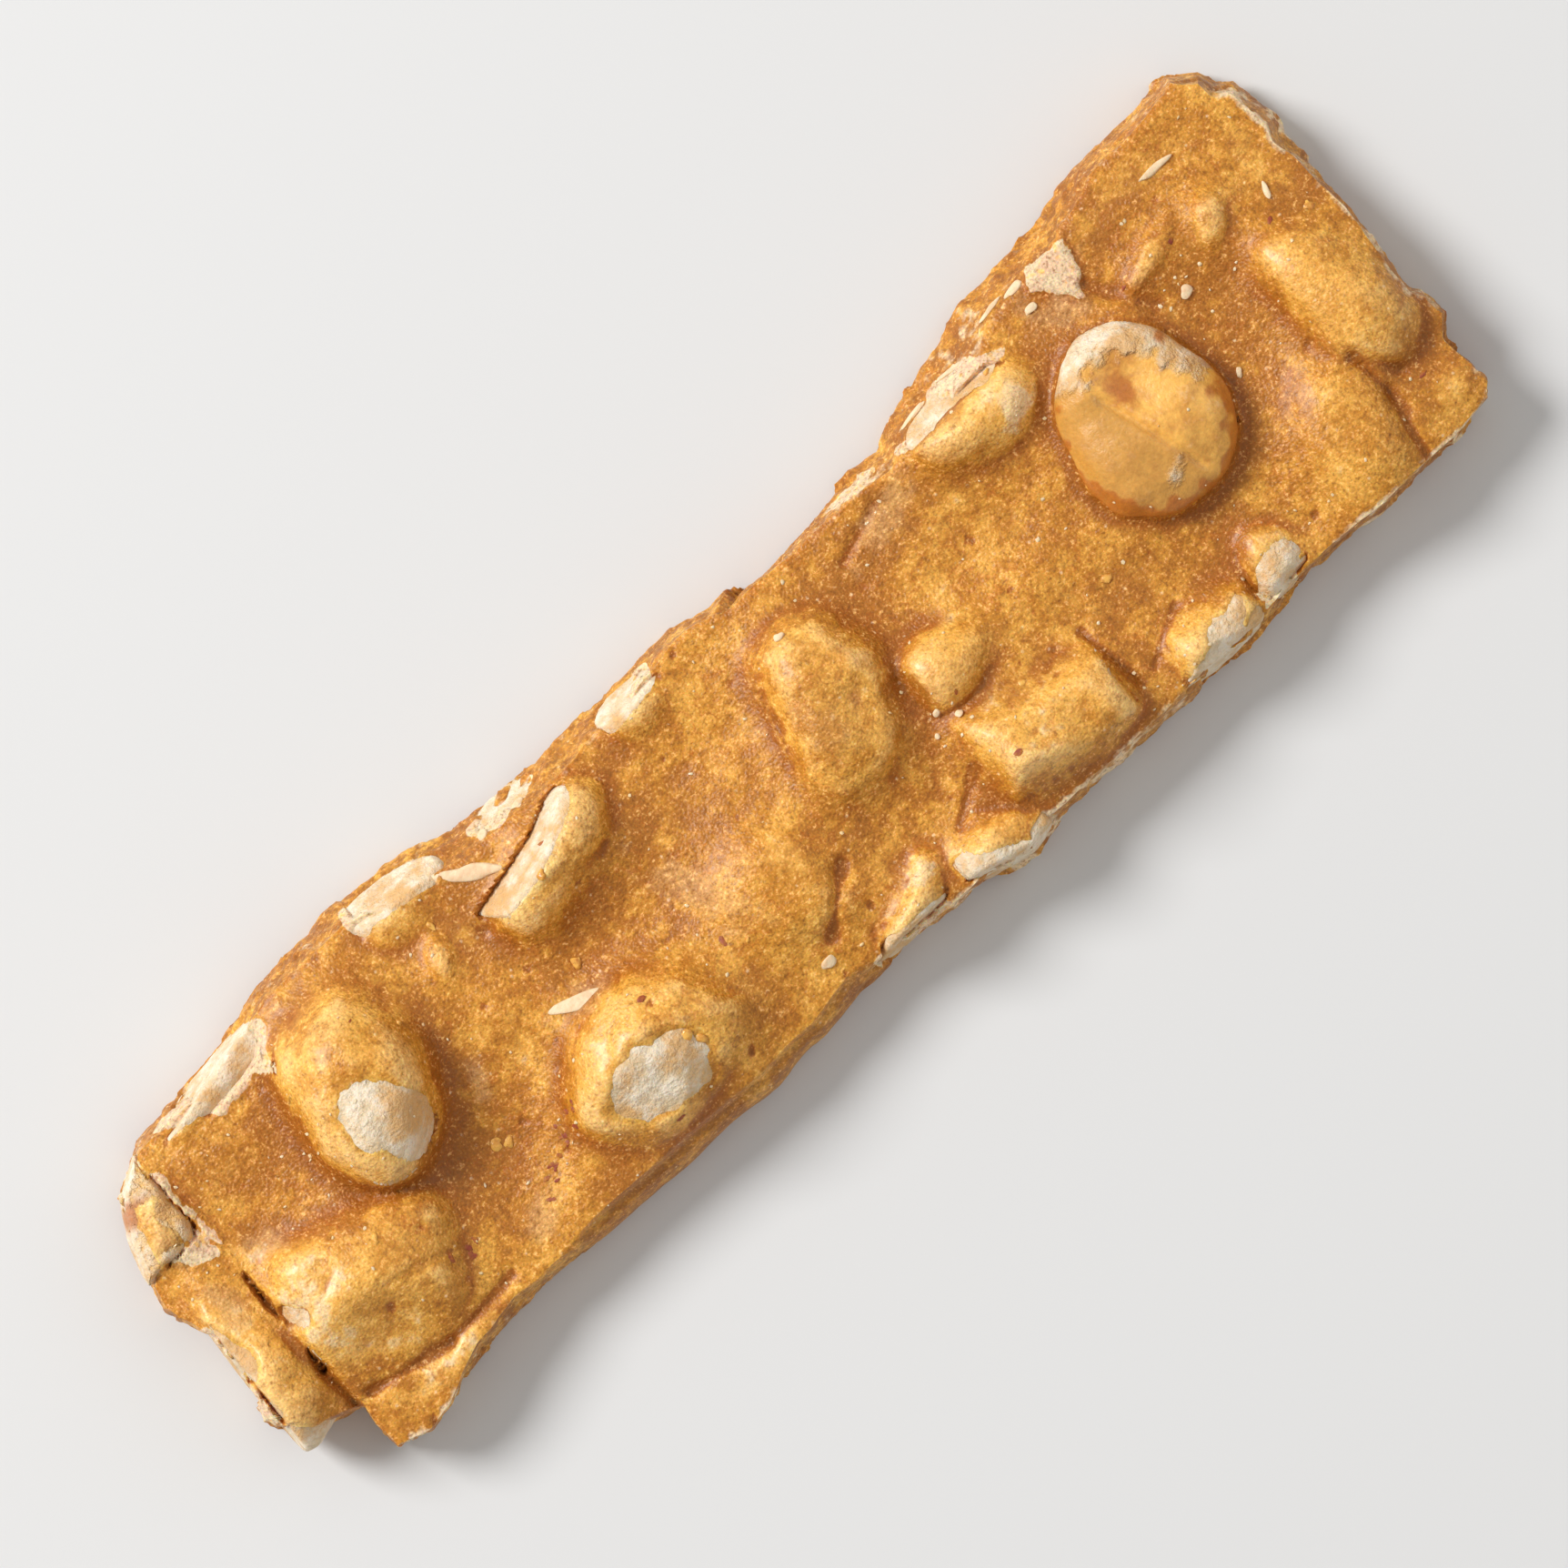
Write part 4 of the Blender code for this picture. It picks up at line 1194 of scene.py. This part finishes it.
def sugar_grains(surface, seed):
    """Fine pale grains, most of them in loose groups."""
    random = np.random.default_rng(82 + seed)
    places = scattered(random, 130)  # strewn singly
    for x, y in GRAIN_GROUPS:
        places += [(x + random.normal(0, 2.2), y + random.normal(0, 1.6)) for _ in range(9)]
    places = [(x, y) for x, y in places if inside_edge(x, y, 0.4)]
    return small_pieces("sugar-grains", places, surface, 83 + seed, (0.07, 0.19), 0.16, 0.4)


def nut_crumbs(surface, seed):
    """Small yellow crumbs of peanut, half sunk in the candy."""
    random = np.random.default_rng(84 + seed)
    places = scattered(random, 14, 1.0)
    return small_pieces("nut-crumbs", places, surface, 85 + seed, (0.2, 0.5), 0.4, 0.45, 2, -0.04)


def skin_specks(surface, seed):
    """Red-brown scraps of peanut skin."""
    random = np.random.default_rng(86 + seed)
    places = scattered(random, 12, 0.8)
    for share in np.linspace(0, 1, 16):  # a streak of them
        x = -31 + 5.4 * share + random.normal(0, 0.3)
        y = -8.4 + 3.2 * share + random.normal(0, 0.4)
        places.append((x, y))
    places += [(-37.5 + random.normal(0, 0.4), -7 + random.normal(0, 0.5)) for _ in range(4)]
    return small_pieces("skin-specks", places, surface, 87 + seed, (0.14, 0.42), 0.08, 0.5, 2)


# ---------------------------------------------------------------- materials

class Value:
    """A number in a material, which can be used in sums like any other."""

    def __init__(self, look, socket):
        self.look, self.socket = look, socket

    def _with(self, operation, first, second):
        node = self.look.node("ShaderNodeMath", {"operation": operation}, {0: first, 1: second})
        return Value(self.look, node.outputs[0])

    def __add__(self, other):
        return self._with("ADD", self, other)

    def __sub__(self, other):
        return self._with("SUBTRACT", self, other)

    def __rsub__(self, other):
        return self._with("SUBTRACT", other, self)

    def __mul__(self, other):
        return self._with("MULTIPLY", self, other)

    __radd__ = __add__
    __rmul__ = __mul__

    def rise(self, low, high):
        """0 below low, 1 above high, and smooth between."""
        node = self.look.node("ShaderNodeMapRange", {"interpolation_type": "SMOOTHSTEP"},
                              {"Value": self, "From Min": low, "From Max": high})
        return Value(self.look, node.outputs["Result"])


class Look:
    """A material under construction."""

    def __init__(self, name):
        self.material = bpy.data.materials.new(name)
        self.material.use_nodes = True
        self.tree = self.material.node_tree
        self.shader = self.tree.nodes["Principled BSDF"]
        coordinates = self.node("ShaderNodeTexCoord")
        millimetres = self.node("ShaderNodeVectorMath", {"operation": "SCALE"},
                                {0: Value(self, coordinates.outputs["Object"]), "Scale": 1 / MM})
        self.place = Value(self, millimetres.outputs[0])

    def node(self, kind, settings=None, values=None):
        """A new node with its settings, and with its inputs set or connected."""
        node = self.tree.nodes.new(kind)
        for key, value in (settings or {}).items():
            setattr(node, key, value)
        for key, value in (values or {}).items():
            if isinstance(value, Value):
                self.tree.links.new(value.socket, node.inputs[key])
            else:
                node.inputs[key].default_value = value
        return node

    def attribute(self, name):
        """The numbers marked on the mesh under a name."""
        node = self.node("ShaderNodeAttribute", {"attribute_name": name})
        return Value(self, node.outputs["Fac"])

    def noise(self, size, detail=3.0, roughness=0.55, shift=0.0):
        """Noise between 0 and 1 with bumps of one size in millimetres."""
        moved = self.node("ShaderNodeVectorMath", {"operation": "ADD"},
                          {0: self.place, 1: (shift, shift * 0.7, -shift)})
        node = self.node("ShaderNodeTexNoise", {}, {
            "Vector": Value(self, moved.outputs[0]), "Scale": 1 / size, "Detail": detail,
            "Roughness": roughness})
        return Value(self, node.outputs["Fac"])

    def cells(self, size, shift=0.0):
        """Distance to the nearest of scattered dots, as a share of their spacing."""
        moved = self.node("ShaderNodeVectorMath", {"operation": "ADD"},
                          {0: self.place, 1: (shift, -shift, shift)})
        node = self.node("ShaderNodeTexVoronoi", {}, {
            "Vector": Value(self, moved.outputs[0]), "Scale": 1 / size, "Randomness": 1.0})
        return Value(self, node.outputs["Distance"])

    def blend(self, first, second, share):
        """The first colour turned into the second by share."""
        colours = [value if isinstance(value, Value) else (*value, 1) for value in (first, second)]
        node = self.node("ShaderNodeMix", {"data_type": "RGBA", "clamp_factor": True},
                         {0: share, 6: colours[0], 7: colours[1]})  # its inputs Factor, A and B
        return Value(self, node.outputs[2])

    def scale(self, colour, share):
        """The colour made lighter or darker."""
        node = self.node("ShaderNodeVectorMath", {"operation": "SCALE"},
                         {0: colour, "Scale": share})
        return Value(self, node.outputs[0])

    def bump(self, height, depth, below=None):
        """A surface normal bent by height, whose full range is depth in millimetres."""
        values = {"Height": height, "Strength": 1.0, "Distance": depth * MM}
        if below is not None:
            values["Normal"] = below
        node = self.node("ShaderNodeBump", {}, values)
        return Value(self, node.outputs["Normal"])

    def finish(self, colour, roughness, normal=None, coat=None, **fixed):
        """Connects the values to the surface; fixed sets its other inputs, with _ for each space."""
        for key, value in (("Base Color", colour), ("Roughness", roughness), ("Normal", normal),
                           ("Coat Weight", coat)):
            if isinstance(value, Value):
                self.tree.links.new(value.socket, self.shader.inputs[key])
            elif value is not None:
                self.shader.inputs[key].default_value = value
        for key, value in fixed.items():
            self.shader.inputs[key.replace("_", " ")].default_value = value
        return self.material


VEIN_SHARPNESS = 4000  # how narrow the veins are

# Colours, as linear red, green and blue
PLAIN = (0.60, 0.245, 0.022)
# pale gold, for painted highlights and for the light specks of the grain
HIGHLIGHT_AND_SPECK = (0.92, 0.60, 0.24)
TAN = (0.57, 0.265, 0.048)
GOLD = (0.76, 0.37, 0.055)
PINK = (0.78, 0.52, 0.33)
# dark amber, for the layers of the broken side and for painted shade in small hollows
DARK_LAYER_AND_SHADE = (0.33, 0.105, 0.008)
YELLOW = (0.88, 0.46, 0.085)
CREAM = (0.86, 0.66, 0.42)
PALE_FLESH = (0.76, 0.58, 0.36)
ROAST = (0.50, 0.165, 0.012)
SKIN = (0.30, 0.05, 0.018)
BROWN = (0.42, 0.145, 0.014)
RUST = (0.48, 0.13, 0.01)
DULL_AND_HIGHLIGHT = (0.64, 0.37, 0.16)
# nearly black, for painted shade in the cracks
CRACK_SHADE = (0.13, 0.03, 0.005)
CRUSHED = (0.93, 0.75, 0.50)
FLESH = (0.93, 0.80, 0.62)
TOASTED_FLESH = (0.70, 0.38, 0.12)
GREY_FLESH = (0.50, 0.36, 0.22)
FLAKE_SHADE = (0.80, 0.52, 0.30)
GRAIN_SHADE = (0.85, 0.56, 0.24)


def candy_look():
    """Cloudy amber candy: painted shade in its creases and hollows, yellower over the peanuts with painted
    light on their lit sides and ridges, pale where it broke.
    """
    look = Look("Amber Candy")
    thin_and_lit, ridge, slope, cream, crack_shade, haze_and_highlight, side, chip, seam, hollow_shade, crease = (
        look.attribute(name) for name in ("thin_and_lit", "ridge", "slope", "cream", "crack_shade", "haze_and_highlight", "side",
                                          "chip", "seam", "hollow_shade", "crease"))
    broad, middle, small = look.noise(9, 2), look.noise(2.4, 3, 0.6, 17), look.noise(0.9, 2, 0.6, 29)
    fine, dust = look.noise(0.42, 2, 0.7, 31), look.noise(0.2, 1, 0.7, 33)
    streaks = look.noise(3.2, 2, 0.6, 57).rise(0.40, 0.66)
    scorch = look.noise(5.5, 2, 0.65, 43).rise(0.50, 0.68)
    patches = look.noise(4.4, 3, 0.62, 83)

    # cloudy mottling, more golden on the rises and browner in broad hollows as painted light and shade
    tone = (broad - 0.5) * 0.5 + (patches - 0.5) * 0.8 + (middle - 0.5) * 0.6 + (small - 0.5) * 0.5
    colour = look.blend(PLAIN, GOLD, (0.5 + tone * 2.6 + slope * 0.2).rise(0.40, 1.0))
    colour = look.blend(colour, BROWN, (0.5 - tone * 2.6 - slope * 0.5).rise(0.45, 1.05) * 0.85)
    colour = look.blend(colour, ROAST, scorch * streaks * 0.35)

    # yellower where a peanut lies close under it, with painted light on the lit sides and ridges, and
    # browner with painted shade in the hollows
    bright = thin_and_lit * (0.75 + streaks * 0.35) + slope * 0.1 + tone * 1.4 + ridge * 0.5
    colour = look.blend(colour, YELLOW, bright.rise(0.15, 1.0) * 0.9)
    # painted highlights, pale gold and then cream, where the peanuts show yellowest
    colour = look.blend(colour, HIGHLIGHT_AND_SPECK, (thin_and_lit * 0.9 + tone * 2.2).rise(0.65, 1.25) * 0.8)
    colour = look.blend(colour, CREAM, (thin_and_lit + tone * 3.0).rise(1.0, 1.5) * 0.6)
    # painted shade: the hollows are coloured browner
    hollow_shaded = (hollow_shade + tone * hollow_shade - thin_and_lit * 0.4).rise(0.0, 1.0)
    colour = look.blend(colour, BROWN, hollow_shaded * 0.8)

    # veins, painted shade along the grooves round the peanuts, in creases and in small hollows, painted
    # highlights on ridges, and the layers of the broken side
    vein = look.noise(4.5, 3, 0.62, 123) - 0.5
    veins = (1 - vein * vein * VEIN_SHARPNESS).rise(0.0, 1.0) * look.noise(7, 1, 0.5, 131).rise(0.46, 0.58)
    colour = look.blend(colour, RUST, veins * 0.4)
    # painted shade: the grooves round the peanuts and the creases are coloured darker orange
    colour = look.blend(colour, RUST, (seam + (small - 0.5) * 0.6).rise(0.2, 0.8) * 0.8)
    colour = look.blend(colour, RUST, (crease * 6.0 + (small - 0.5) * 0.5).rise(0.12, 0.8) * 0.85)
    colour = look.blend(colour, DARK_LAYER_AND_SHADE, (0 - ridge * 3.0 + (fine - 0.5) * 0.3).rise(0.1, 0.9) * 0.7)
    colour = look.blend(colour, HIGHLIGHT_AND_SPECK, (ridge * 2.4 + (small - 0.5) * 0.9).rise(0.3, 1.3) * 0.6)
    layers = look.noise(1.3, 2, 0.7, 111).rise(0.42, 0.62)
    colour = look.blend(colour, DARK_LAYER_AND_SHADE, side * layers * 0.75)

    # dull pale veils, some of them painted highlights, pale dots, painted shade in the cracks, crushed
    # rims and chipped places
    # partly painted highlight: the veils are coloured paler
    colour = look.blend(colour, DULL_AND_HIGHLIGHT, haze_and_highlight * (0.1 + fine * 0.7))
    dots = 1 - look.cells(1.1, 5).rise(0.04, 0.16)
    colour = look.blend(colour, CREAM, dots * fine.rise(0.4, 0.6) * 0.55)
    colour = look.blend(colour, CRACK_SHADE, crack_shade.rise(0.45, 0.95) * 0.9)
    chalk = (cream + (look.noise(0.9, 2, 0.65, 71) - 0.5) * 1.3).rise(0.3, 0.8)
    colour = look.blend(colour, CRUSHED, chalk * 0.75)
    flesh = look.blend(PALE_FLESH, PINK, look.noise(1.6, 2, 0.65, 15).rise(0.40, 0.62))
    flesh = look.blend(flesh, YELLOW, small.rise(0.55, 0.7) * 0.7)
    colour = look.blend(colour, flesh, (chip + (small - 0.5) * 0.5).rise(0.35, 0.6))

    # fine grain over all of it
    grain = (fine - 0.5) * 1.5 + (dust - 0.5) * 1.0
    colour = look.blend(colour, ROAST, (0 - grain).rise(0.05, 0.5) * (0.55 - thin_and_lit * 0.25))
    colour = look.blend(colour, HIGHLIGHT_AND_SPECK, grain.rise(0.08, 0.5) * 0.45)
    colour = look.scale(colour, 1.0 + grain * (0.75 - thin_and_lit * 0.3))

    rough = 0.46 + (middle - 0.5) * 0.2 + chalk * 0.3 + chip * 0.25 + haze_and_highlight * 0.2 + (fine - 0.5) * 0.3
    normal = look.bump(look.noise(1.5, 1, 0.5, 91), 0.08)
    normal = look.bump(look.noise(0.45, 2, 0.7, 101), 0.08, normal)
    normal = look.bump(look.noise(0.2, 0, 0.7, 103), 0.06, normal)
    return look.finish(colour, rough, normal, coat=0.05 + thin_and_lit * 0.3, Coat_Roughness=0.22,
                       Specular_IOR_Level=0.35, Subsurface_Weight=0.4,
                       Subsurface_Radius=(1.0, 0.45, 0.15), Subsurface_Scale=0.0012)


def peanut_look():
    """Roasted peanut: pale mottled flesh where it broke, golden outside with patches of brown."""
    look = Look("Roasted Peanut")
    bare, stain = look.attribute("bare"), look.attribute("stain")
    broad, middle = look.noise(3.2, 4, 0.6, 3), look.noise(1.1, 4, 0.65, 23)
    fine = look.noise(0.35, 3, 0.65, 37)
    outside = look.blend(YELLOW, ROAST, (broad + (middle - 0.5) * 0.6).rise(0.42, 0.75) * 0.7)
    outside = look.blend(outside, CREAM, (middle + (fine - 0.5) * 0.4).rise(0.55, 0.8) * 0.35)
    flesh = look.blend(PALE_FLESH, FLESH, middle.rise(0.35, 0.65))
    flesh = look.blend(flesh, TOASTED_FLESH, (broad + fine * 0.3).rise(0.56, 0.80) * 0.85)
    flesh = look.blend(flesh, GREY_FLESH, (fine * 0.6 + middle * 0.4).rise(0.52, 0.68) * 0.45)
    share = (bare + (middle - 0.5) * 0.8 + (fine - 0.5) * 0.3).rise(0.25, 0.75)
    colour = look.blend(outside, flesh, share)
    colour = look.blend(colour, TAN, look.attribute("tan") * (1 - share) * 0.7)
    colour = look.blend(colour, RUST, (stain + (middle - 0.5) * 0.9).rise(0.25, 0.9) * 0.8)
    colour = look.scale(colour, 1 + (fine - 0.5) * 0.6)
    normal = look.bump(middle * (0.25 + share * 0.75), 0.3)
    normal = look.bump(fine * (0.3 + share * 0.7), 0.18, normal)
    return look.finish(colour, 0.42 + share * 0.3, normal, coat=(1 - share) * 0.35,
                       Coat_Roughness=0.2, Subsurface_Weight=0.25,
                       Subsurface_Radius=(1.0, 0.6, 0.3), Subsurface_Scale=0.0007)


def plain_look(name, light, dark, size, roughness, depth, coat=0.0):
    """A material mottled between two colours."""
    look = Look(name)
    mottle = look.noise(size, 4, 0.65, 9)
    colour = look.blend(light, dark, mottle.rise(0.4, 0.7))
    normal = look.bump(mottle, depth)
    return look.finish(colour, roughness, normal, coat=coat, Subsurface_Weight=0.2,
                       Subsurface_Radius=(1.0, 0.6, 0.35), Subsurface_Scale=0.0005)


# ---------------------------------------------------------------- the add-on

class BrittleSettings(bpy.types.PropertyGroup):
    """What the panel lets you set before building."""

    nut_relief: FloatProperty(
        name="Peanut Roughness", description="How rough the peanuts' surface is, 1 as modelled",
        default=1.0, min=0.0, max=2.0, subtype="FACTOR")
    seed: IntProperty(
        name="Seed", description="Which random pattern the strewn crumbs and grains follow",
        default=0, min=0, max=1000)
    floor_colour: FloatVectorProperty(
        name="Floor Colour", description="Colour of the plain floor", subtype="COLOR",
        default=(0.72, 0.717, 0.713), min=0.0, max=1.0)
    camera_height: FloatProperty(
        name="Camera Height", description="How far above the shard the camera hangs",
        default=0.6, min=0.1, max=5.0, unit="LENGTH")


def peanut_pieces():
    """The peanuts' objects, by the names of their solids."""
    return {name: bpy.data.objects[name.replace("_", "-")] for name in PEANUTS}


def beside_crease(x, y):
    """How far right of the halved peanut's crease a place lies."""
    return x - 33.9 - (2.0 - y) * 0.24


def paint_peanut(name, item):
    """Marks where a peanut shows bare flesh, and where it is tanned or stained; on the halved peanut the
    bare marks also carry a painted highlight.
    """
    x, y, _ = (points_of(item) / MM).T
    bare, tan, stain = np.ones(len(x)), np.zeros(len(x)), np.zeros(len(x))
    if name == "peanut_half":
        low, high = (np.array(corner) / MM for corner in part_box(name))
        across = (x - (low[0] + high[0]) / 2) / ((high[0] - low[0]) / 2)
        along = (y - (low[1] + high[1]) / 2) / ((high[1] - low[1]) / 2)
        ring = np.hypot(across, along)
        angle = np.degrees(np.arctan2(along, across))
        upper_right = rise(angle, -30, 20) * (1 - rise(angle, 110, 140))
        wave = 0.05 * np.sin(x * 3.1 + y) + 0.04 * np.sin(y * 4.3 - x * 2)
        bare = rise(ring + wave, 0.5, 0.95) * upper_right
        # painted highlight: a glint at the lower left, marked as pale bare flesh
        glint = ((x - 33.7) / 1.5) ** 2 + ((y + 4.0 - (x - 33.7) * 0.4) / 0.8) ** 2
        bare = np.maximum(bare, 0.6 * np.exp(-glint))
        stain = np.exp(-(((x - 35.2) / 1.2) ** 2 + ((y - 2.9) / 2.1) ** 2))
        dots = np.minimum(np.hypot(x - 39.6, y - 3.5), np.hypot(x - 39.4, y + 1.6))
        stain = np.maximum(stain, np.exp(-(dots / 0.6) ** 2))
        stain = np.maximum(stain, 0.9 * rise(ring + wave, 0.86, 1.0) * (1 - upper_right))
        tan = 1 - rise(beside_crease(x, y), -0.5, 0.3)
    elif name == "peanut_corner_chip":
        bare = 0.55 + 0.45 * values_of(item, "broken")
        stain = np.exp(-(((x + 52.2) / 1.8) ** 2 + ((y - 10.6) / 1.1) ** 2))
    mark(item, "tan", tan)
    mark(item, "bare", bare)
    mark(item, "stain", stain)


def split_half(item):
    """Presses the crease of the halved peanut into its top, with its left side lower."""
    points = points_of(item)
    x, y, z = (points / MM).T
    gap = beside_crease(x, y)
    length = rise(y, -6, -4) * (1 - rise(y, 2.5, 4.5))
    top = rise(z, 6.0, 7.5)
    press = 0.55 * np.exp(-(gap / 0.32) ** 2) + 0.5 * (1 - rise(gap, -1.0, 0.1))
    hollow = 0.5 * np.exp(-(((x - 35.6) / 1.8) ** 2 + ((y - 2.4) / 2.4) ** 2))
    points[:, 2] -= MM * top * (length * press + hollow)
    set_points(item, points)


class BRITTLE_OT_peanuts(bpy.types.Operator):
    """Build the roasted peanuts, each in the place of its solid"""

    bl_idname = "brittle.peanuts"
    bl_label = "Peanuts"

    def execute(self, context):
        look = peanut_look()
        for name, form in PEANUTS.items():
            item = peanut(name, context.scene.brittle.nut_relief, **form)
            to_metres(item)
            if name == "peanut_half":
                split_half(item)
            paint_peanut(name, item)
            hand_over(item, look, (name,))
        return {"FINISHED"}


class BRITTLE_OT_candy(bpy.types.Operator):
    """Pour the candy round the peanuts and break it off along its sides"""

    bl_idname = "brittle.candy"
    bl_label = "Candy Slab"

    def execute(self, context):
        item = candy_slab(Relief(), peanut_pieces())
        to_metres(item, 50)
        hand_over(item, candy_look(), ("candy_slab",))
        return {"FINISHED"}


class BRITTLE_OT_crumbs(bpy.types.Operator):
    """Strew flakes, crumbs, grains and scraps of skin over the shard"""

    bl_idname = "brittle.crumbs"
    bl_label = "Crumbs"

    def execute(self, context):
        surface = Surface(bpy.data.objects["candy-slab"], *peanut_pieces().values())
        kinds = (
            (pale_flakes, PEANUT_SLOT, plain_look("Pale Flake", CREAM, FLAKE_SHADE, 0.8, 0.6, 0.12)),
            (nut_crumbs, PEANUT_SLOT, plain_look("Nut Crumb", YELLOW, ROAST, 0.7, 0.45, 0.1, coat=0.2)),
            (sugar_grains, CANDY_SLOT,
             plain_look("Sugar Grain", CREAM, GRAIN_SHADE, 0.4, 0.4, 0.05, coat=0.2)),
            (skin_specks, PEANUT_SLOT, plain_look("Skin Speck", SKIN, ROAST, 0.4, 0.55, 0.05)),
        )
        for build, slot, look in kinds:
            item = build(surface, context.scene.brittle.seed)
            to_metres(item, 60)
            hand_over(item, look)
        return {"FINISHED"}


class BRITTLE_OT_stage(bpy.types.Operator):
    """Set the pale floor, the soft lights and the camera above"""

    bl_idname = "brittle.stage"
    bl_label = "Stage"

    def execute(self, context):
        settings = context.scene.brittle
        bpy.ops.mesh.primitive_plane_add(size=FLOOR_WIDTH)
        floor = added("floor")
        look = Look("Floor")
        look.finish((*settings.floor_colour, 1), 0.75)
        floor.data.materials.append(look.material)

        turned = Matrix.Rotation(math.radians(VIEW_TURN), 3, "Z")
        for name, place, size, power in LAMPS:
            bpy.ops.object.light_add(type="AREA")
            light = bpy.context.active_object
            light.name = name
            light.data.shape = "DISK"
            light.data.size = size
            light.data.energy = power
            light.location = turned @ Vector(place)
            light.rotation_euler = light.location.to_track_quat("Z", "Y").to_euler()
        world = bpy.data.worlds.new("Studio")
        world.use_nodes = True
        background = world.node_tree.nodes["Background"]
        background.inputs["Color"].default_value = STUDIO_COLOUR
        background.inputs["Strength"].default_value = STUDIO_STRENGTH
        context.scene.world = world
        context.scene.view_settings.view_transform = "Standard"

        bpy.ops.object.camera_add(location=(0, 0, settings.camera_height),
                                  rotation=(0, 0, math.radians(VIEW_TURN)))
        camera = bpy.context.active_object
        camera.name = "Camera"
        camera.data.lens = camera.data.sensor_width * settings.camera_height / VIEW_WIDTH
        camera.data.clip_start = 0.01
        context.scene.camera = camera
        return {"FINISHED"}


class BRITTLE_PT_panel(bpy.types.Panel):
    """Settings and build steps of the peanut brittle shard"""

    bl_idname = "BRITTLE_PT_panel"
    bl_label = "Peanut Brittle Shard"
    bl_space_type = "VIEW_3D"
    bl_region_type = "UI"
    bl_category = "Brittle"

    def draw(self, context):
        settings = context.scene.brittle
        for name in ("nut_relief", "seed", "floor_colour", "camera_height"):
            self.layout.prop(settings, name)
        for operator in OPERATORS:
            self.layout.operator(operator.bl_idname)


OPERATORS = (BRITTLE_OT_peanuts, BRITTLE_OT_candy, BRITTLE_OT_crumbs, BRITTLE_OT_stage)


def register():
    for kind in (BrittleSettings, *OPERATORS, BRITTLE_PT_panel):
        bpy.utils.register_class(kind)
    bpy.types.Scene.brittle = PointerProperty(type=BrittleSettings)


def unregister():
    del bpy.types.Scene.brittle
    for kind in (BRITTLE_PT_panel, *reversed(OPERATORS), BrittleSettings):
        bpy.utils.unregister_class(kind)


def main():
    register()
    bpy.ops.brittle.peanuts()
    bpy.ops.brittle.candy()
    bpy.ops.brittle.crumbs()
    bpy.ops.brittle.stage()


if __name__ == "__main__":
    main()
